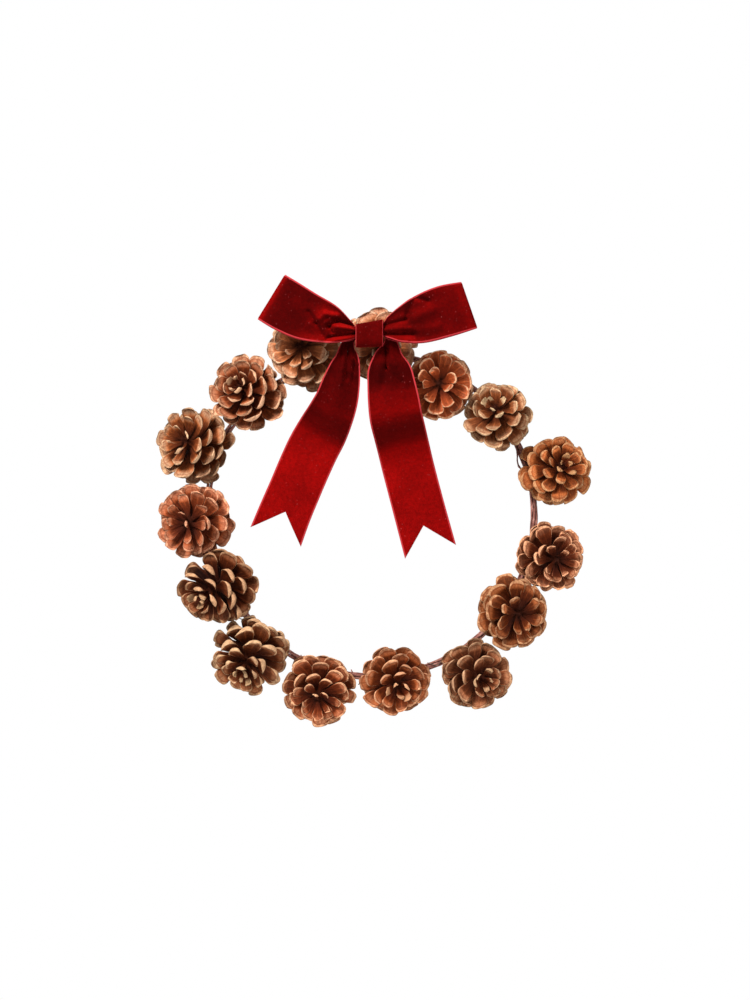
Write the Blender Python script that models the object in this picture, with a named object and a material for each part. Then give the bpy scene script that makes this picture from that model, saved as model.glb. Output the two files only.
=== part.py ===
"""Pinecone wreath: fifteen open pine cones wired to a ring of twisted vine, with a velvet bow.

Metres, +Z up, the front faces -Y. The origin is where a hook carries the wreath: under the ring at its top.
"""

import math

import bpy
import numpy as np

GAP = 0.0003
GOLDEN_ANGLE = math.radians(137.508)

RING_RADIUS = 0.1291
VINES = 4
VINE_RADIUS = 0.00103
VINE_OFFSET = 0.0018
VINE_TURNS = 4
VINE_STEPS = 54
BUNDLE_RADIUS = VINE_OFFSET + VINE_RADIUS
RING_CENTRE_Z = BUNDLE_RADIUS - RING_RADIUS

# Each cone: clock angle of its base in degrees, millimetres outside the ring line, lean in degrees and the
# clock direction it leans to, width and height in millimetres, scales, hand of its spirals, turn in degrees,
# colour.
CONES = (
    (315, 0, 27, 308, 59, 48, 46, 1, 10, (0.40, 0.20, 0.11)),
    (291, 14, 31, 299, 59, 48, 48, -1, 75, (0.45, 0.27, 0.15)),
    (269, 6, 17, 241, 57, 47, 50, 1, 140, (0.38, 0.16, 0.09)),
    (246, -7, 41, 235, 60, 49, 48, -1, 30, (0.33, 0.17, 0.10)),
    (223, 7, 39, 201, 60, 49, 50, 1, 200, (0.35, 0.20, 0.12)),
    (198, 9, 21, 180, 55, 48, 46, 1, 95, (0.40, 0.19, 0.10)),
    (173, -3, 18, 151, 53, 46, 46, -1, 160, (0.40, 0.19, 0.10)),
    (148, 17, 18, 117, 54, 46, 46, 1, 20, (0.33, 0.21, 0.14)),
    (125, 3, 10, 100, 55, 48, 48, -1, 250, (0.43, 0.24, 0.12)),
    (103, 10, 18, 112, 53, 46, 46, 1, 310, (0.38, 0.20, 0.11)),
    (77, 16, 17, 53, 54, 47, 48, -1, 180, (0.42, 0.23, 0.12)),
    (53.5, -4, 20, 335, 51, 45, 46, 1, 120, (0.46, 0.29, 0.17)),
    (27.5, -14, 3, 315, 53, 45, 44, -1, 55, (0.40, 0.19, 0.11)),
    (2.5, 6, 4, 150, 60, 42, 44, 1, 270, (0.46, 0.29, 0.18)),
    (337, 7, 16, 315, 53, 45, 46, 1, 0, (0.42, 0.25, 0.15)),
)
CONE_GAP = 0.0008
CORE_RADIUS = 0.0053
STEM_RADIUS = 0.0022
STEM_LENGTH = 0.0055

RIBBON_THICKNESS = 0.0009
TAIL_NOTCH = 0.0216
KNOT = (-0.0025, -0.0590, 0.0137)
BAND_WIDTH, BAND_HEIGHT, BAND_DEPTH = 21.0, 19.6, 12.5
VELVET = (0.30, 0.004, 0.008)

# Bow sections in millimetres from the knot. Loops: top edge (right, up), foot edge (right, up), back, pleat
# depth.
LEFT_LOOP = (
    (-1, 5.5, -1, -2.5, -1.5, 0.3), (-9.8, 6.2, -9.8, -2.2, -2, 0.4), (-14.5, 11, -14.5, -4, -4, 1.2),
    (-25, 21.5, -29.5, -6.6, -8, 1.6), (-41, 31.1, -53.6, -4, -9.5, 0.8), (-54, 39.4, -71.6, 3.2, -7.5, 0),
    (-65, 46.2, -86.2, 11.8, -2.5, 0),
    (-55, 38.9, -72.5, 2.2, 0.5, 0), (-42, 30.1, -54.6, -5, 1, 0), (-26, 20.5, -30.5, -7.6, 1, 0.3),
    (-14.5, 10, -14.5, -4.5, 1, 0.4), (-9.8, 5.8, -9.8, -2.2, 1, 0.3), (-1, 5, -1, -2, 1, 0.2),
)
RIGHT_LOOP = (
    (1, 7, 1, -2, -1.5, 0.3), (10, 8.8, 10, -0.9, -2, 0.4), (14.5, 14.2, 14.8, -2.5, -4, 1.2),
    (23.7, 21.8, 25.2, -5.9, -8, 1.6), (35.2, 29.5, 42.1, -6.4, -9.5, 0.8), (53, 37, 63, -1.3, -7.5, 0),
    (71, 40.6, 83.4, 4.9, -2.5, 0),
    (53.5, 36.5, 63.5, -2.8, 0.5, 0), (35.7, 28.5, 42.6, -7.9, 1, 0), (23.7, 20.8, 25.7, -7.4, 1, 0.3),
    (14.5, 12.5, 14.5, -3.5, 1, 0.4), (10, 8.6, 10, -1, 1, 0.3), (1, 6.5, 1, -1.5, 1, 0.2),
)
# Tails: right, up, back, width, pleat depth.
LEFT_TAIL = (
    (-3, 0, 2.9, 7.5, 0), (-9.8, 0.4, 2.8, 7.3, 0.1), (-14.9, -2.4, 5.2, 8.2, 0.4),
    (-17.4, -10, 7.8, 12.4, 0.8),
    (-17.6, -18.5, 6, 19.9, 1.5),
    (-19.6, -28, 2.4, 25.6, 1.6), (-22, -38, 0.5, 29.8, 1.4), (-25.5, -51, 1, 33.5, 0.8),
    (-30.8, -63, 10, 37, 0.3),
    (-37, -74, 27, 40, 0), (-44.5, -87, 36, 41, 0), (-52, -103, 40, 41.2, 0), (-59.3, -120, 42.5, 41.2, 0),
    (-67, -138, 44, 41.8, 0), (-74.5, -157.2, 45, 43, 0),
)
RIGHT_TAIL = (
    (3, 2, 3.0, 7, 0), (9.8, 2.8, 2.8, 7, 0.1), (15.2, -0.2, 4.8, 7.6, 0.4), (16.6, -7, 7.2, 12.2, 0.8),
    (15.3, -16, 6.4, 23.8, 1.5),
    (15.6, -26, 2, 33.6, 1.6), (17, -38, -2.5, 37.2, 1.1), (18.9, -52, -3, 40, 0.6), (20.7, -64, 1, 41, 0.2),
    (23.4, -74, 13, 41.2, 0), (26.6, -86, 29, 41.2, 0), (30.6, -102, 38, 41.2, 0),
    (35.6, -121, 41.5, 41.2, 0),
    (41.2, -142, 44, 41.5, 0), (48.5, -169, 45, 42, 0),
)

WIRE_RADIUS = 0.00045
WIRE_ON_STEM = 0.0030
TWIST = ((3.1, 9.7), (1.55, 7.7), (0, 5.7))
WIRE_BROWN = (0.07, 0.035, 0.022)
MIDDLE_CONE = 13
TIE_CLOCKS = (349, 13)
TIE_RISE = ((-0.007, 0.010), (-0.010, 0.024), (-0.010, 0.038), (-0.004, 0.047))


def along(table, t):
    """Value at t of a line drawn through (t, value) pairs."""
    return np.interp(t, [row[0] for row in table], [row[1] for row in table])


def unit(vector):
    return vector / np.linalg.norm(vector)


def curve_through(points, count):
    """count points at even steps along a smooth (Catmull-Rom) curve through the given points."""
    p = np.array(points, float)
    p = np.vstack([2 * p[0] - p[1], p, 2 * p[-1] - p[-2]])
    t = np.linspace(0, len(points) - 1, count)
    i = np.minimum(t.astype(int), len(points) - 2)
    f = (t - i)[:, None]
    a, b, c, d = p[i], p[i + 1], p[i + 2], p[i + 3]
    return 0.5 * (2 * b + (c - a) * f + (2 * a - 5 * b + 4 * c - d) * f**2 + (3 * b - a - 3 * c + d) * f**3)


def material(name, colour, roughness, metallic=0.0):
    made = bpy.data.materials.new(name)
    made.use_nodes = True
    surface = made.node_tree.nodes["Principled BSDF"]
    surface.inputs["Base Color"].default_value = (*colour, 1)
    surface.inputs["Roughness"].default_value = roughness
    surface.inputs["Metallic"].default_value = metallic
    made.diffuse_color = (*colour, 1)
    return made


def add(name, points, faces, surface, smooth=False):
    mesh = bpy.data.meshes.new(name)
    mesh.from_pydata([tuple(p) for p in points], [], faces)
    if smooth:
        mesh.shade_smooth()
    mesh.materials.append(surface)
    thing = bpy.data.objects.new(name, mesh)
    bpy.context.scene.collection.objects.link(thing)
    return thing


def tube(path, radius, sides, phase=0.0):
    """Points and faces of a closed-ended tube along a path, its section carried without twist."""
    path = np.array(path, float)
    ahead = np.gradient(path, axis=0)
    ahead /= np.linalg.norm(ahead, axis=1)[:, None]
    side = unit(np.cross(ahead[0], (0.31, 0.87, 0.39)))
    turns = phase + np.arange(sides) * 2 * math.pi / sides
    points = []
    for centre, direction in zip(path, ahead):
        side = unit(side - direction * side.dot(direction))
        other = np.cross(direction, side)
        points += [centre + radius * (math.cos(a) * side + math.sin(a) * other) for a in turns]
    faces = [tuple(range(sides))[::-1]]
    for i in range(len(path) - 1):
        for k in range(sides):
            a, b = i * sides + k, i * sides + (k + 1) % sides
            faces.append((a, b, b + sides, a + sides))
    last = (len(path) - 1) * sides
    faces.append(tuple(range(last, last + sides)))
    return points, faces


def sheet_solid(front, thickness):
    """Points and faces of a sheet: the grid of its middle surface, thickened evenly to both sides."""
    rows, columns = front.shape[:2]
    down = np.gradient(front, axis=0)
    across = np.gradient(front, axis=1)
    normal = np.cross(down, across)
    normal /= np.linalg.norm(normal, axis=2)[:, :, None]
    points = np.concatenate([(front + normal * thickness / 2).reshape(-1, 3),
                             (front - normal * thickness / 2).reshape(-1, 3)])
    back = rows * columns
    faces = []
    for i in range(rows - 1):
        for k in range(columns - 1):
            a = i * columns + k
            faces.append((a, a + columns, a + columns + 1, a + 1))
            faces.append((back + a, back + a + 1, back + a + columns + 1, back + a + columns))
    rim = [k for k in range(columns)]
    rim += [i * columns + columns - 1 for i in range(1, rows)]
    rim += [(rows - 1) * columns + k for k in range(columns - 2, -1, -1)]
    rim += [i * columns for i in range(rows - 2, 0, -1)]
    for a, b in zip(rim, rim[1:] + rim[:1]):
        faces.append((a, b, back + b, back + a))
    return points, faces


def front_point(clock, out=0.0, depth=0.0):
    """Point on the ring line at a clock angle, moved outwards by out and forwards by depth."""
    r = RING_RADIUS + out
    return np.array((r * math.sin(clock), -depth, RING_CENTRE_Z + r * math.cos(clock)))


def cone_frame(clock, out, lean, towards):
    """Base centre of a cone, and the three directions of its own frame, with the axis last."""
    aside = math.sin(lean)
    axis = np.array((aside * math.sin(towards), -math.cos(lean), aside * math.cos(towards)))
    first = unit(np.cross(axis, (0, 0, 1)))
    return front_point(clock, out), np.array((first, np.cross(axis, first), axis))


def cone_scale(share, width, luck):
    """Elevation from the axis, length, width and thickness of the scale at a share from tip to base."""
    reach = width / 2 - 0.68 * CORE_RADIUS
    elevation = along(((0, 16), (0.15, 44), (0.35, 66), (0.65, 86), (1, 99)), share) + 5 * luck[0]
    lengths = ((0, 0.36), (0.15, 0.62), (0.35, 0.86), (0.65, 1), (0.85, 0.95), (1, 0.72))
    length = reach * along(lengths, share)
    breadth = width * along(((0, 0.055), (0.15, 0.155), (0.35, 0.215), (0.6, 0.24), (1, 0.21)), share)
    thick = along(((0, 0.0012), (0.2, 0.0026), (0.5, 0.0038), (1, 0.0034)), share)
    return math.radians(elevation), length * (1 + 0.10 * luck[1]), breadth * (1 + 0.08 * luck[2]), thick


def cone_points(spec, number, base, limits):
    """Points and faces of one cone: a core with a scale drawn out of each cell of its spiral lattice.

    Lattice point j stands at j golden angles round the core. Scale j grows from the cell of points j, j+3,
    j+8 and j+5. A scale is shortened where it would cross one of the limits, which are planes (point,
    direction).
    """
    clock, out, lean, towards, width, height, scales, hand, turn, _ = spec
    width, height = width / 1000, height / 1000
    _, frame = cone_frame(math.radians(clock), out / 1000, math.radians(lean), math.radians(towards))
    luck = np.random.default_rng(number).uniform(-1, 1, (scales, 3))
    core = 0.80 * height
    j = np.arange(scales + 8)
    azimuth = hand * j * GOLDEN_ANGLE + math.radians(turn)
    down = (j + 0.5) / (scales + 8)
    swell = ((0, 0.16), (0.12, 0.45), (0.35, 0.85), (0.65, 1), (0.9, 0.9), (1, 0.7))
    radius = CORE_RADIUS * along(swell, down)
    level = core * (1 - down)
    points = [np.array((r * math.cos(a), r * math.sin(a), h)) for r, a, h in zip(radius, azimuth, level)]
    faces = []
    for n in range(scales):
        elevation, length, breadth, thick = cone_scale(n / (scales - 1), width, luck[n])
        corners = [n, n + 3, n + 8, n + 5]
        root = np.mean([points[c] for c in corners], axis=0)
        facing = azimuth[n] + hand * math.radians(10)
        outward = np.array((math.cos(facing), math.sin(facing), 0))
        sideways = hand * np.array((-math.sin(facing), math.cos(facing), 0))
        upward = np.array((0, 0, 1.0))

        def ends(size):
            stations = []
            for share, bend in ((0.74, -0.05), (1.0, 0.03)):
                angle = elevation + bend
                along_scale = math.sin(angle) * outward + math.cos(angle) * upward
                face = math.sin(angle) * upward - math.cos(angle) * outward
                stations.append((root + along_scale * length * share * size, face))
            (broad, face), (tip, _) = stations
            return [broad + face * thick * 0.35, broad + sideways * breadth / 2,
                    broad - face * thick * 0.65, broad - sideways * breadth / 2,
                    tip + sideways * breadth * 0.27, tip - sideways * breadth * 0.27]

        size = 1.0
        drawn = ends(size)
        while size > 0.3 and any(((np.array(drawn) @ frame + base - p) @ d).max() > 0 for p, d in limits):
            size -= 0.03
            drawn = ends(size)
        first = len(points)
        points += drawn
        ring = [first, first + 1, first + 2, first + 3]
        right, left = first + 4, first + 5
        made = []
        for a in range(4):
            b = (a + 1) % 4
            made.append((corners[a], corners[b], ring[b], ring[a]))
        made.append((ring[0], ring[1], right))
        made.append((ring[1], ring[2], right))
        made.append((ring[2], ring[3], left))
        made.append((ring[3], ring[0], left))
        made.append((ring[0], right, left))
        made.append((ring[2], left, right))
        faces += made
    apex = len(points)
    points.append(np.array((0, 0, core * 1.02)))
    order = [0, 3, 6, 1, 4, 7, 2, 5]
    for a, b in zip(order, order[1:] + order[:1]):
        faces.append((b, a, apex))
    last = [scales + k for k in order]
    stem = len(points)
    for end, size in ((-0.0004, 1.0), (-STEM_LENGTH, 0.9)):
        for k in last:
            around = np.array((math.cos(azimuth[k]), math.sin(azimuth[k]), 0))
            points.append(around * STEM_RADIUS * size + np.array((0, 0, end)))
    for step in (0, 8):
        for a in range(8):
            b = (a + 1) % 8
            low = (last[b], last[a]) if step == 0 else (stem + b, stem + a)
            faces.append((low[1], low[0], stem + step + b, stem + step + a))
    faces.append(tuple(stem + 8 + a for a in range(8)))
    if hand > 0:
        faces = [face[::-1] for face in faces]
    return np.array(points) @ frame + base, faces


def seat_on_ring(points, faces, clock):
    """How far forwards the cone must stand so that every scale clears the ring and the wire beside it."""
    middles = np.array([points[list(face)].mean(axis=0) for face in faces])
    edges = np.concatenate([(points[list(f)] + points[list(f[1:] + f[:1])]) / 2 for f in faces])
    every = np.concatenate([points, middles, edges])
    away = np.abs(np.hypot(every[:, 0], every[:, 2] - RING_CENTRE_Z) - RING_RADIUS)
    beside = np.hypot(every[:, 0] - front_point(clock)[0], every[:, 2] - front_point(clock)[2]) < 0.007
    clear = BUNDLE_RADIUS + GAP + np.where(beside, 4 * WIRE_RADIUS, 0)
    over = away < clear
    return (every[over, 1] + np.sqrt(clear[over] ** 2 - away[over] ** 2)).max()


def place_cones():
    """Bases of the cones once seated, and for each the planes that part it from its two neighbours."""
    bases = []
    for number, spec in enumerate(CONES, 1):
        base, _ = cone_frame(math.radians(spec[0]), spec[1] / 1000, 0, 0)
        points, faces = cone_points(spec, number, base, ())
        bases.append(base - (0, seat_on_ring(points, faces, math.radians(spec[0])), 0))
    middles = []
    for spec, base in zip(CONES, bases):
        _, frame = cone_frame(0, 0, math.radians(spec[2]), math.radians(spec[3]))
        middles.append(base + frame[2] * spec[5] / 1000 * 0.36)
    limits = []
    for i, spec in enumerate(CONES):
        planes = []
        for j in ((i + 1) % len(CONES), i - 1):
            apart = middles[j] - middles[i]
            share = spec[4] / (spec[4] + CONES[j][4])
            planes.append((middles[i] + apart * share - unit(apart) * CONE_GAP, unit(apart)))
        limits.append(planes)
    return bases, limits


def make_cones(bases, limits):
    for number, (spec, base, planes) in enumerate(zip(CONES, bases, limits), 1):
        surface = material(f"pine cone {number}", spec[9], 0.7)
        add(f"pinecone_{number:02d}", *cone_points(spec, number, base, planes), surface)


def make_vines():
    """Vine lengths round the ring, each a slow helix about the ring line, cut where its ends meet."""
    surface = material("vine", (0.19, 0.07, 0.055), 0.75)
    for k in range(VINES):
        start = math.radians(40 + 97 * k)
        share = np.linspace(0.002, 0.998, VINE_STEPS + 1)
        clock = start + 2 * math.pi * share
        turn = 2 * math.pi * (k / VINES + VINE_TURNS * clock / (2 * math.pi))
        path = [front_point(c, VINE_OFFSET * math.cos(a), VINE_OFFSET * math.sin(a))
                for c, a in zip(clock, turn)]
        add(f"vine_strand_{k + 1}", *tube(path, VINE_RADIUS, 6), surface, smooth=True)


def binding_wire(clock, base, axis):
    """Path of a binding wire: a twist behind the ring, round the ring, hooked over the stem, and back."""
    outward = np.array((math.sin(clock), 0, math.cos(clock)))
    tangent = np.array((math.cos(clock), 0, -math.sin(clock)))
    middle = front_point(clock)
    ring = BUNDLE_RADIUS + GAP + WIRE_RADIUS
    hook = STEM_RADIUS + GAP + WIRE_RADIUS
    stem = base - axis * WIRE_ON_STEM
    near = 1 if (stem - middle) @ outward >= 0 else -1
    beyond = unit(near * outward - axis * (near * outward @ axis))
    beside = np.cross(axis, beyond)
    if beside @ tangent < 0:
        beside = -beside

    def leg(side):
        twist = [(0.8 * side * math.cos(a), 0.8 * side * math.sin(a), c) for a, c in TWIST]
        round_ring = [(1.2 * side, -0.78 * near * 4.7, 3.7), (1.9 * side, -1.04 * near * 4.7, 0),
                      (2.7 * side, -0.80 * near * 4.7, -3.9)]
        local = np.array(twist + round_ring) / 4.7 * ring * 1.06
        path = [middle + a * tangent + b * outward + (0, c, 0) for a, b, c in local]
        if abs((stem - middle) @ outward) > 2 * hook:
            path.append(middle + side * 0.8 * hook * tangent - (0, ring + 0.0007, 0))
        return path + [stem + hook * side * beside]

    bend = [stem + hook * (math.cos(a) * beside + math.sin(a) * beyond) for a in (0.8, 1.57, 2.34)]
    return leg(1) + bend + leg(-1)[::-1]


def make_cone_wires(bases):
    surface = material("brown binding wire", WIRE_BROWN, 0.5, 0.3)
    for number, (spec, base) in enumerate(zip(CONES, bases), 1):
        clock = math.radians(spec[0])
        _, frame = cone_frame(clock, 0, math.radians(spec[2]), math.radians(spec[3]))
        path = binding_wire(clock, base, frame[2])
        add(f"cone_wire_{number:02d}", *tube(path, WIRE_RADIUS, 5), surface, smooth=True)


def bow_point(right, up, back):
    """Point of the bow, in millimetres to the right of, above and behind the knot."""
    return np.array(KNOT) + np.array((right, back, up)) / 1000


def pleats(depth, columns):
    """Offsets across a gathered ribbon: ridges and valleys of the given depth, level at both selvedges."""
    v = np.linspace(-1, 1, columns)
    return depth * np.sin(1.5 * math.pi * (v + 1)) * (1 - 0.35 * v**2)


def loop_surface(sections, rows, columns):
    """Middle surface of a loop. Each section: top right, top up, foot right, foot up, back, pleat depth."""
    lines = curve_through(sections, rows)
    front = np.empty((rows, columns, 3))
    share = np.linspace(0, 1, columns)[:, None]
    for i, (tr, tu, fr, fu, back, depth) in enumerate(lines):
        front[i] = bow_point(tr, tu, back) * (1 - share) + bow_point(fr, fu, back) * share
        front[i, :, 1] += pleats(depth, columns) / 1000
    return front


def tail_surface(sections, rows, columns):
    """Middle surface of a tail, its end notched. Each section is (right, up, back, width, pleat depth)."""
    lines = curve_through(sections, 60)
    middle = np.array([bow_point(*row[:3]) for row in lines])
    steps = np.concatenate([[0], np.cumsum(np.linalg.norm(np.diff(middle, axis=0), axis=1))])
    ahead = np.gradient(middle, axis=0)
    v = np.linspace(-1, 1, columns)
    front = np.empty((rows, columns, 3))
    for i, share in enumerate(np.linspace(0, 1, rows)):
        for k, across in enumerate(v):
            reach = steps[-1] - TAIL_NOTCH * (1 - abs(across)) * share**5
            at = share * reach
            centre = np.array([np.interp(at, steps, middle[:, c]) for c in range(3)])
            path = np.array([np.interp(at, steps, ahead[:, c]) for c in range(3)])
            level = unit(np.array((-path[2], 0, path[0])))
            width, depth = np.interp(at, steps, lines[:, 3]), np.interp(at, steps, lines[:, 4])
            front[i, k] = centre + level * across * width / 2000
            front[i, k, 1] += depth / 1000 * math.sin(1.5 * math.pi * (across + 1))
    return front


def make_loops(surface):
    """Loops: ribbon drawn out of the knot, folded flat at its outer end and brought back behind itself."""
    for side, sections in (("left", LEFT_LOOP), ("right", RIGHT_LOOP)):
        front = loop_surface(sections, 25, 7)
        if side == "right":
            front = front[:, ::-1]
        add(f"bow_loop_{side}", *sheet_solid(front, RIBBON_THICKNESS), surface)


def make_tails(surface):
    """Tails: ribbon from under the knot, over the cones' faces, then hanging free, its end notched."""
    for side, sections in (("left", LEFT_TAIL), ("right", RIGHT_TAIL)):
        add(f"bow_tail_{side}", *sheet_solid(tail_surface(sections, 19, 7), RIBBON_THICKNESS), surface)


def make_knot_band(surface):
    """Band: a short length of ribbon round the gathers, meeting itself behind."""
    steps, columns = 18, 3
    points, faces = [], []
    for inset in (0, RIBBON_THICKNESS * 1000):
        for i in range(steps):
            a = 2 * math.pi * i / steps
            for k in range(columns):
                across = k - 1
                up = BAND_HEIGHT / 2 - inset + 0.7 * across
                up *= math.copysign(abs(math.sin(a)) ** 0.7, math.sin(a))
                back = (BAND_DEPTH / 2 - inset) * math.copysign(abs(math.cos(a)) ** 0.7, -math.cos(a))
                points.append(bow_point(across * BAND_WIDTH / 2, up + 1.2 * across + 0.3, back))
    inner = steps * columns
    for i in range(steps):
        j = (i + 1) % steps
        for k in range(columns - 1):
            a, b = i * columns + k, j * columns + k
            faces.append((a, a + 1, b + 1, b))
            faces.append((inner + a, inner + b, inner + b + 1, inner + a + 1))
        a, b = i * columns, j * columns
        faces.append((a, b, inner + b, inner + a))
        a, b = a + columns - 1, b + columns - 1
        faces.append((a, inner + a, inner + b, b))
    add("bow_knot_band", points, faces, surface, smooth=True)


def make_tie_wire(limits):
    """Tie wire: round the ring, up between the cones, behind the knot, and down again to the ring."""
    path = []
    for plane, clock in zip(limits[MIDDLE_CONE], TIE_CLOCKS):
        clock = math.radians(clock)
        outward = np.array((math.sin(clock), 0, math.cos(clock)))
        round_ring = BUNDLE_RADIUS + 2 * GAP + WIRE_RADIUS
        leg = [front_point(clock) + round_ring * (math.sin(a) * outward + (0, -math.cos(a), 0))
               for a in np.radians((140, 180, -130, -90, -50))]
        for out, depth in TIE_RISE:
            point = front_point(clock, out, depth)
            leg.append(point + plane[1] * ((plane[0] - point) @ plane[1] + CONE_GAP))
        path.append(leg)
    behind = [bow_point(right, 1, BAND_DEPTH / 2 + 0.8) for right in (-BAND_WIDTH / 2, BAND_WIDTH / 2)]
    path = path[0] + behind + path[1][::-1]
    surface = material("bow tie wire", WIRE_BROWN, 0.5, 0.3)
    add("bow_tie_wire", *tube(path, WIRE_RADIUS, 5), surface, smooth=True)


def make_bow(limits):
    velvet = material("red velvet", VELVET, 0.85)
    make_loops(velvet)
    make_tails(velvet)
    make_knot_band(velvet)
    make_tie_wire(limits)


def clear_scene():
    for thing in list(bpy.data.objects):
        bpy.data.objects.remove(thing)


clear_scene()
cone_bases, cone_limits = place_cones()
make_cones(cone_bases, cone_limits)
make_vines()
make_cone_wires(cone_bases)
make_bow(cone_limits)
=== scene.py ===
"""Looks of the pinecone wreath: open pine cones wired to a ring of twisted vine, with a red velvet bow.

Metres, +Z up, the front faces -Y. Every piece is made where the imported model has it.
"""

import math

import bpy
import numpy as np
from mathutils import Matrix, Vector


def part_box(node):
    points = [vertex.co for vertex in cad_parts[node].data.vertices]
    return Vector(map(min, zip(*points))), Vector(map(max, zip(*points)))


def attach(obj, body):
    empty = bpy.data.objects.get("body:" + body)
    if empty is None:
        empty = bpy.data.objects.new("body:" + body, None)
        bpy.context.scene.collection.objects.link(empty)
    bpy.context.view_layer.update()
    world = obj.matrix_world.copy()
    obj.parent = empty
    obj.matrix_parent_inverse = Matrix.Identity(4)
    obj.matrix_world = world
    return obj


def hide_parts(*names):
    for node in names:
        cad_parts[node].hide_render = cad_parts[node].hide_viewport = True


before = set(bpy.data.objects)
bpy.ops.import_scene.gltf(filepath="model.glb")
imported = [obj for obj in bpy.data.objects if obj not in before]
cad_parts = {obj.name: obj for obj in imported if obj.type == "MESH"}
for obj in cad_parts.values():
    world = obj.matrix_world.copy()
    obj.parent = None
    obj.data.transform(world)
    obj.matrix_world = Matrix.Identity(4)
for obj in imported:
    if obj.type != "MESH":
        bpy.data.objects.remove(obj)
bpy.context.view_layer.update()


# Camera: a long lens, level and square to the wreath, at the height of its middle. There is no cord.
camera_data = bpy.data.cameras.new("front")
camera_data.lens = 81
camera_data.sensor_width = 36
camera = bpy.data.objects.new("front", camera_data)
camera.location = (0.0019, -1.8, -0.1141)
camera.rotation_euler = (math.radians(90), 0, 0)
bpy.context.scene.collection.objects.link(camera)
bpy.context.scene.camera = camera


# Pine cones: fifteen dry, fully open cones of a hard pine, each wired to the ring by its stalk. A cone is
# one woody shell: a spindle whose spiral lattice of cells is drawn out into scales, closed at both ends.
GOLDEN_ANGLE = math.radians(137.508)
RING_RADIUS = 0.1291
VINE_RADIUS = 0.00103
VINE_OFFSET = 0.0018
BUNDLE_RADIUS = VINE_OFFSET + VINE_RADIUS
RING_CENTRE_Z = BUNDLE_RADIUS - RING_RADIUS
BULGE = 0.005
BULGE_CLOCK = math.radians(294)
CONE_GAP = 0.0008
CORE_RADIUS = 0.0053
STEM_RADIUS = 0.0022
STEM_LENGTH = 0.0055
# Where the middle of a cone's bulk lies, as a share of its height, and how sharp its scales' rims stay.
BULK_MIDDLE = 0.36
RIM_SHARPNESS = 0.9
# How much scales differ by chance, either way: elevation in degrees, and more of it near the tip of a wide
# open cone; then shares of length and breadth; then twist, sideways drift and curl; then the raggedness of
# their outer parts in metres, and more of it at the very tip.
ELEVATION_LUCK, OPEN_ELEVATION_LUCK = 7, 12
LENGTH_LUCK, BREADTH_LUCK = 0.11, 0.08
TWIST_LUCK, YAW_LUCK, CURL_LUCK = 0.36, 0.15, 0.13
RAGGED, RAGGED_TIP = 0.0008, 0.0004
# Each cone: clock angle of its base, millimetres outside the ring line, lean and the way it leans, width and
# height in millimetres, number of scales, hand and turn of its spirals. Angles are in degrees.
CONES = (
    (315, 0, 27, 308, 59, 48, 46, 1, 270),
    (291, 14, 31, 299, 59, 48, 42, 1, 270),
    (269, 5, 22, 250, 57, 47, 50, 1, 195),
    (246, -7, 41, 235, 60, 49, 48, 1, 150),
    (223, 7, 39, 201, 60, 49, 50, 1, 60),
    (198, 9, 21, 180, 55, 48, 46, -1, 285),
    (173, -3, 18, 151, 53, 46, 40, 1, 300),
    (148, 17, 18, 117, 54, 46, 40, 1, 180),
    (125, 3, 10, 100, 55, 48, 40, -1, 135),
    (103, 10, 18, 112, 53, 46, 46, 1, 105),
    (77, 16, 17, 53, 54, 47, 48, -1, 330),
    (53.5, -4, 20, 335, 51, 45, 38, 1, 285),
    (27.5, -14, 3, 315, 53, 45, 37, 1, 0),
    (2.6, 5, 4, 150, 58, 42, 38, -1, 180),
    (338.2, 7, 16, 315, 58, 45, 42, -1, 60),
)
CLOCK, OUT, LEAN, TOWARDS, WIDTH, HEIGHT, SCALES, HAND, TURN = range(9)
# Along a scale, from the spindle to its rounded end: how far out, its half width, the height of its keel,
# the depth of the hollow on each side of it, and the depth below, as shares of its length, half width and
# thickness. Then round it: how far to the side each point stands, and how much it is on the inner face.
STATIONS = (
    (0.10, 0.50, 0.34, -0.20, 0.42), (0.30, 0.60, 0.12, 0.04, 0.30), (0.50, 0.82, 0.00, 0.20, 0.26),
    (0.68, 1.02, -0.08, 0.26, 0.32), (0.82, 1.13, -0.10, 0.24, 0.80), (0.93, 1.05, -0.10, 0.19, 0.95),
    (1.00, 0.80, -0.06, 0.10, 0.66), (1.035, 0.42, 0.00, 0.03, 0.30),
)
SECTION_SIDE = np.array((0, 0.55, 1, 0.70, 0, -0.70, -1, -0.55))
INNER = np.array((1, 1, 0.5, 0, 0, 0, 0.5, 1))
# Wood of each cone: its inner faces, and its rims and outer ends. The inner faces of the last two cones,
# which lie in the bow's shadow, are painted brighter to make up for it: painted light.
WOOD = (
    ((0.37, 0.092, 0.026), (0.52, 0.30, 0.185)), ((0.48, 0.147, 0.041), (0.44, 0.280, 0.170)),
    ((0.42, 0.100, 0.031), (0.47, 0.23, 0.14)), ((0.23, 0.057, 0.015), (0.36, 0.205, 0.115)),
    ((0.31, 0.086, 0.024), (0.40, 0.25, 0.145)), ((0.36, 0.080, 0.021), (0.52, 0.285, 0.165)),
    ((0.38, 0.089, 0.020), (0.47, 0.240, 0.135)), ((0.37, 0.123, 0.048), (0.41, 0.24, 0.14)),
    ((0.25, 0.057, 0.009), (0.36, 0.19, 0.10)), ((0.25, 0.057, 0.014), (0.57, 0.29, 0.165)),
    ((0.43, 0.110, 0.024), (0.37, 0.190, 0.092)), ((0.50, 0.170, 0.056), (0.42, 0.280, 0.170)),
    ((0.84, 0.195, 0.058), (0.57, 0.33, 0.20)), ((0.98, 0.360, 0.150), (0.61, 0.40, 0.275)),
    ((0.98, 0.385, 0.155), (0.47, 0.30, 0.195)),
)
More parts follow.
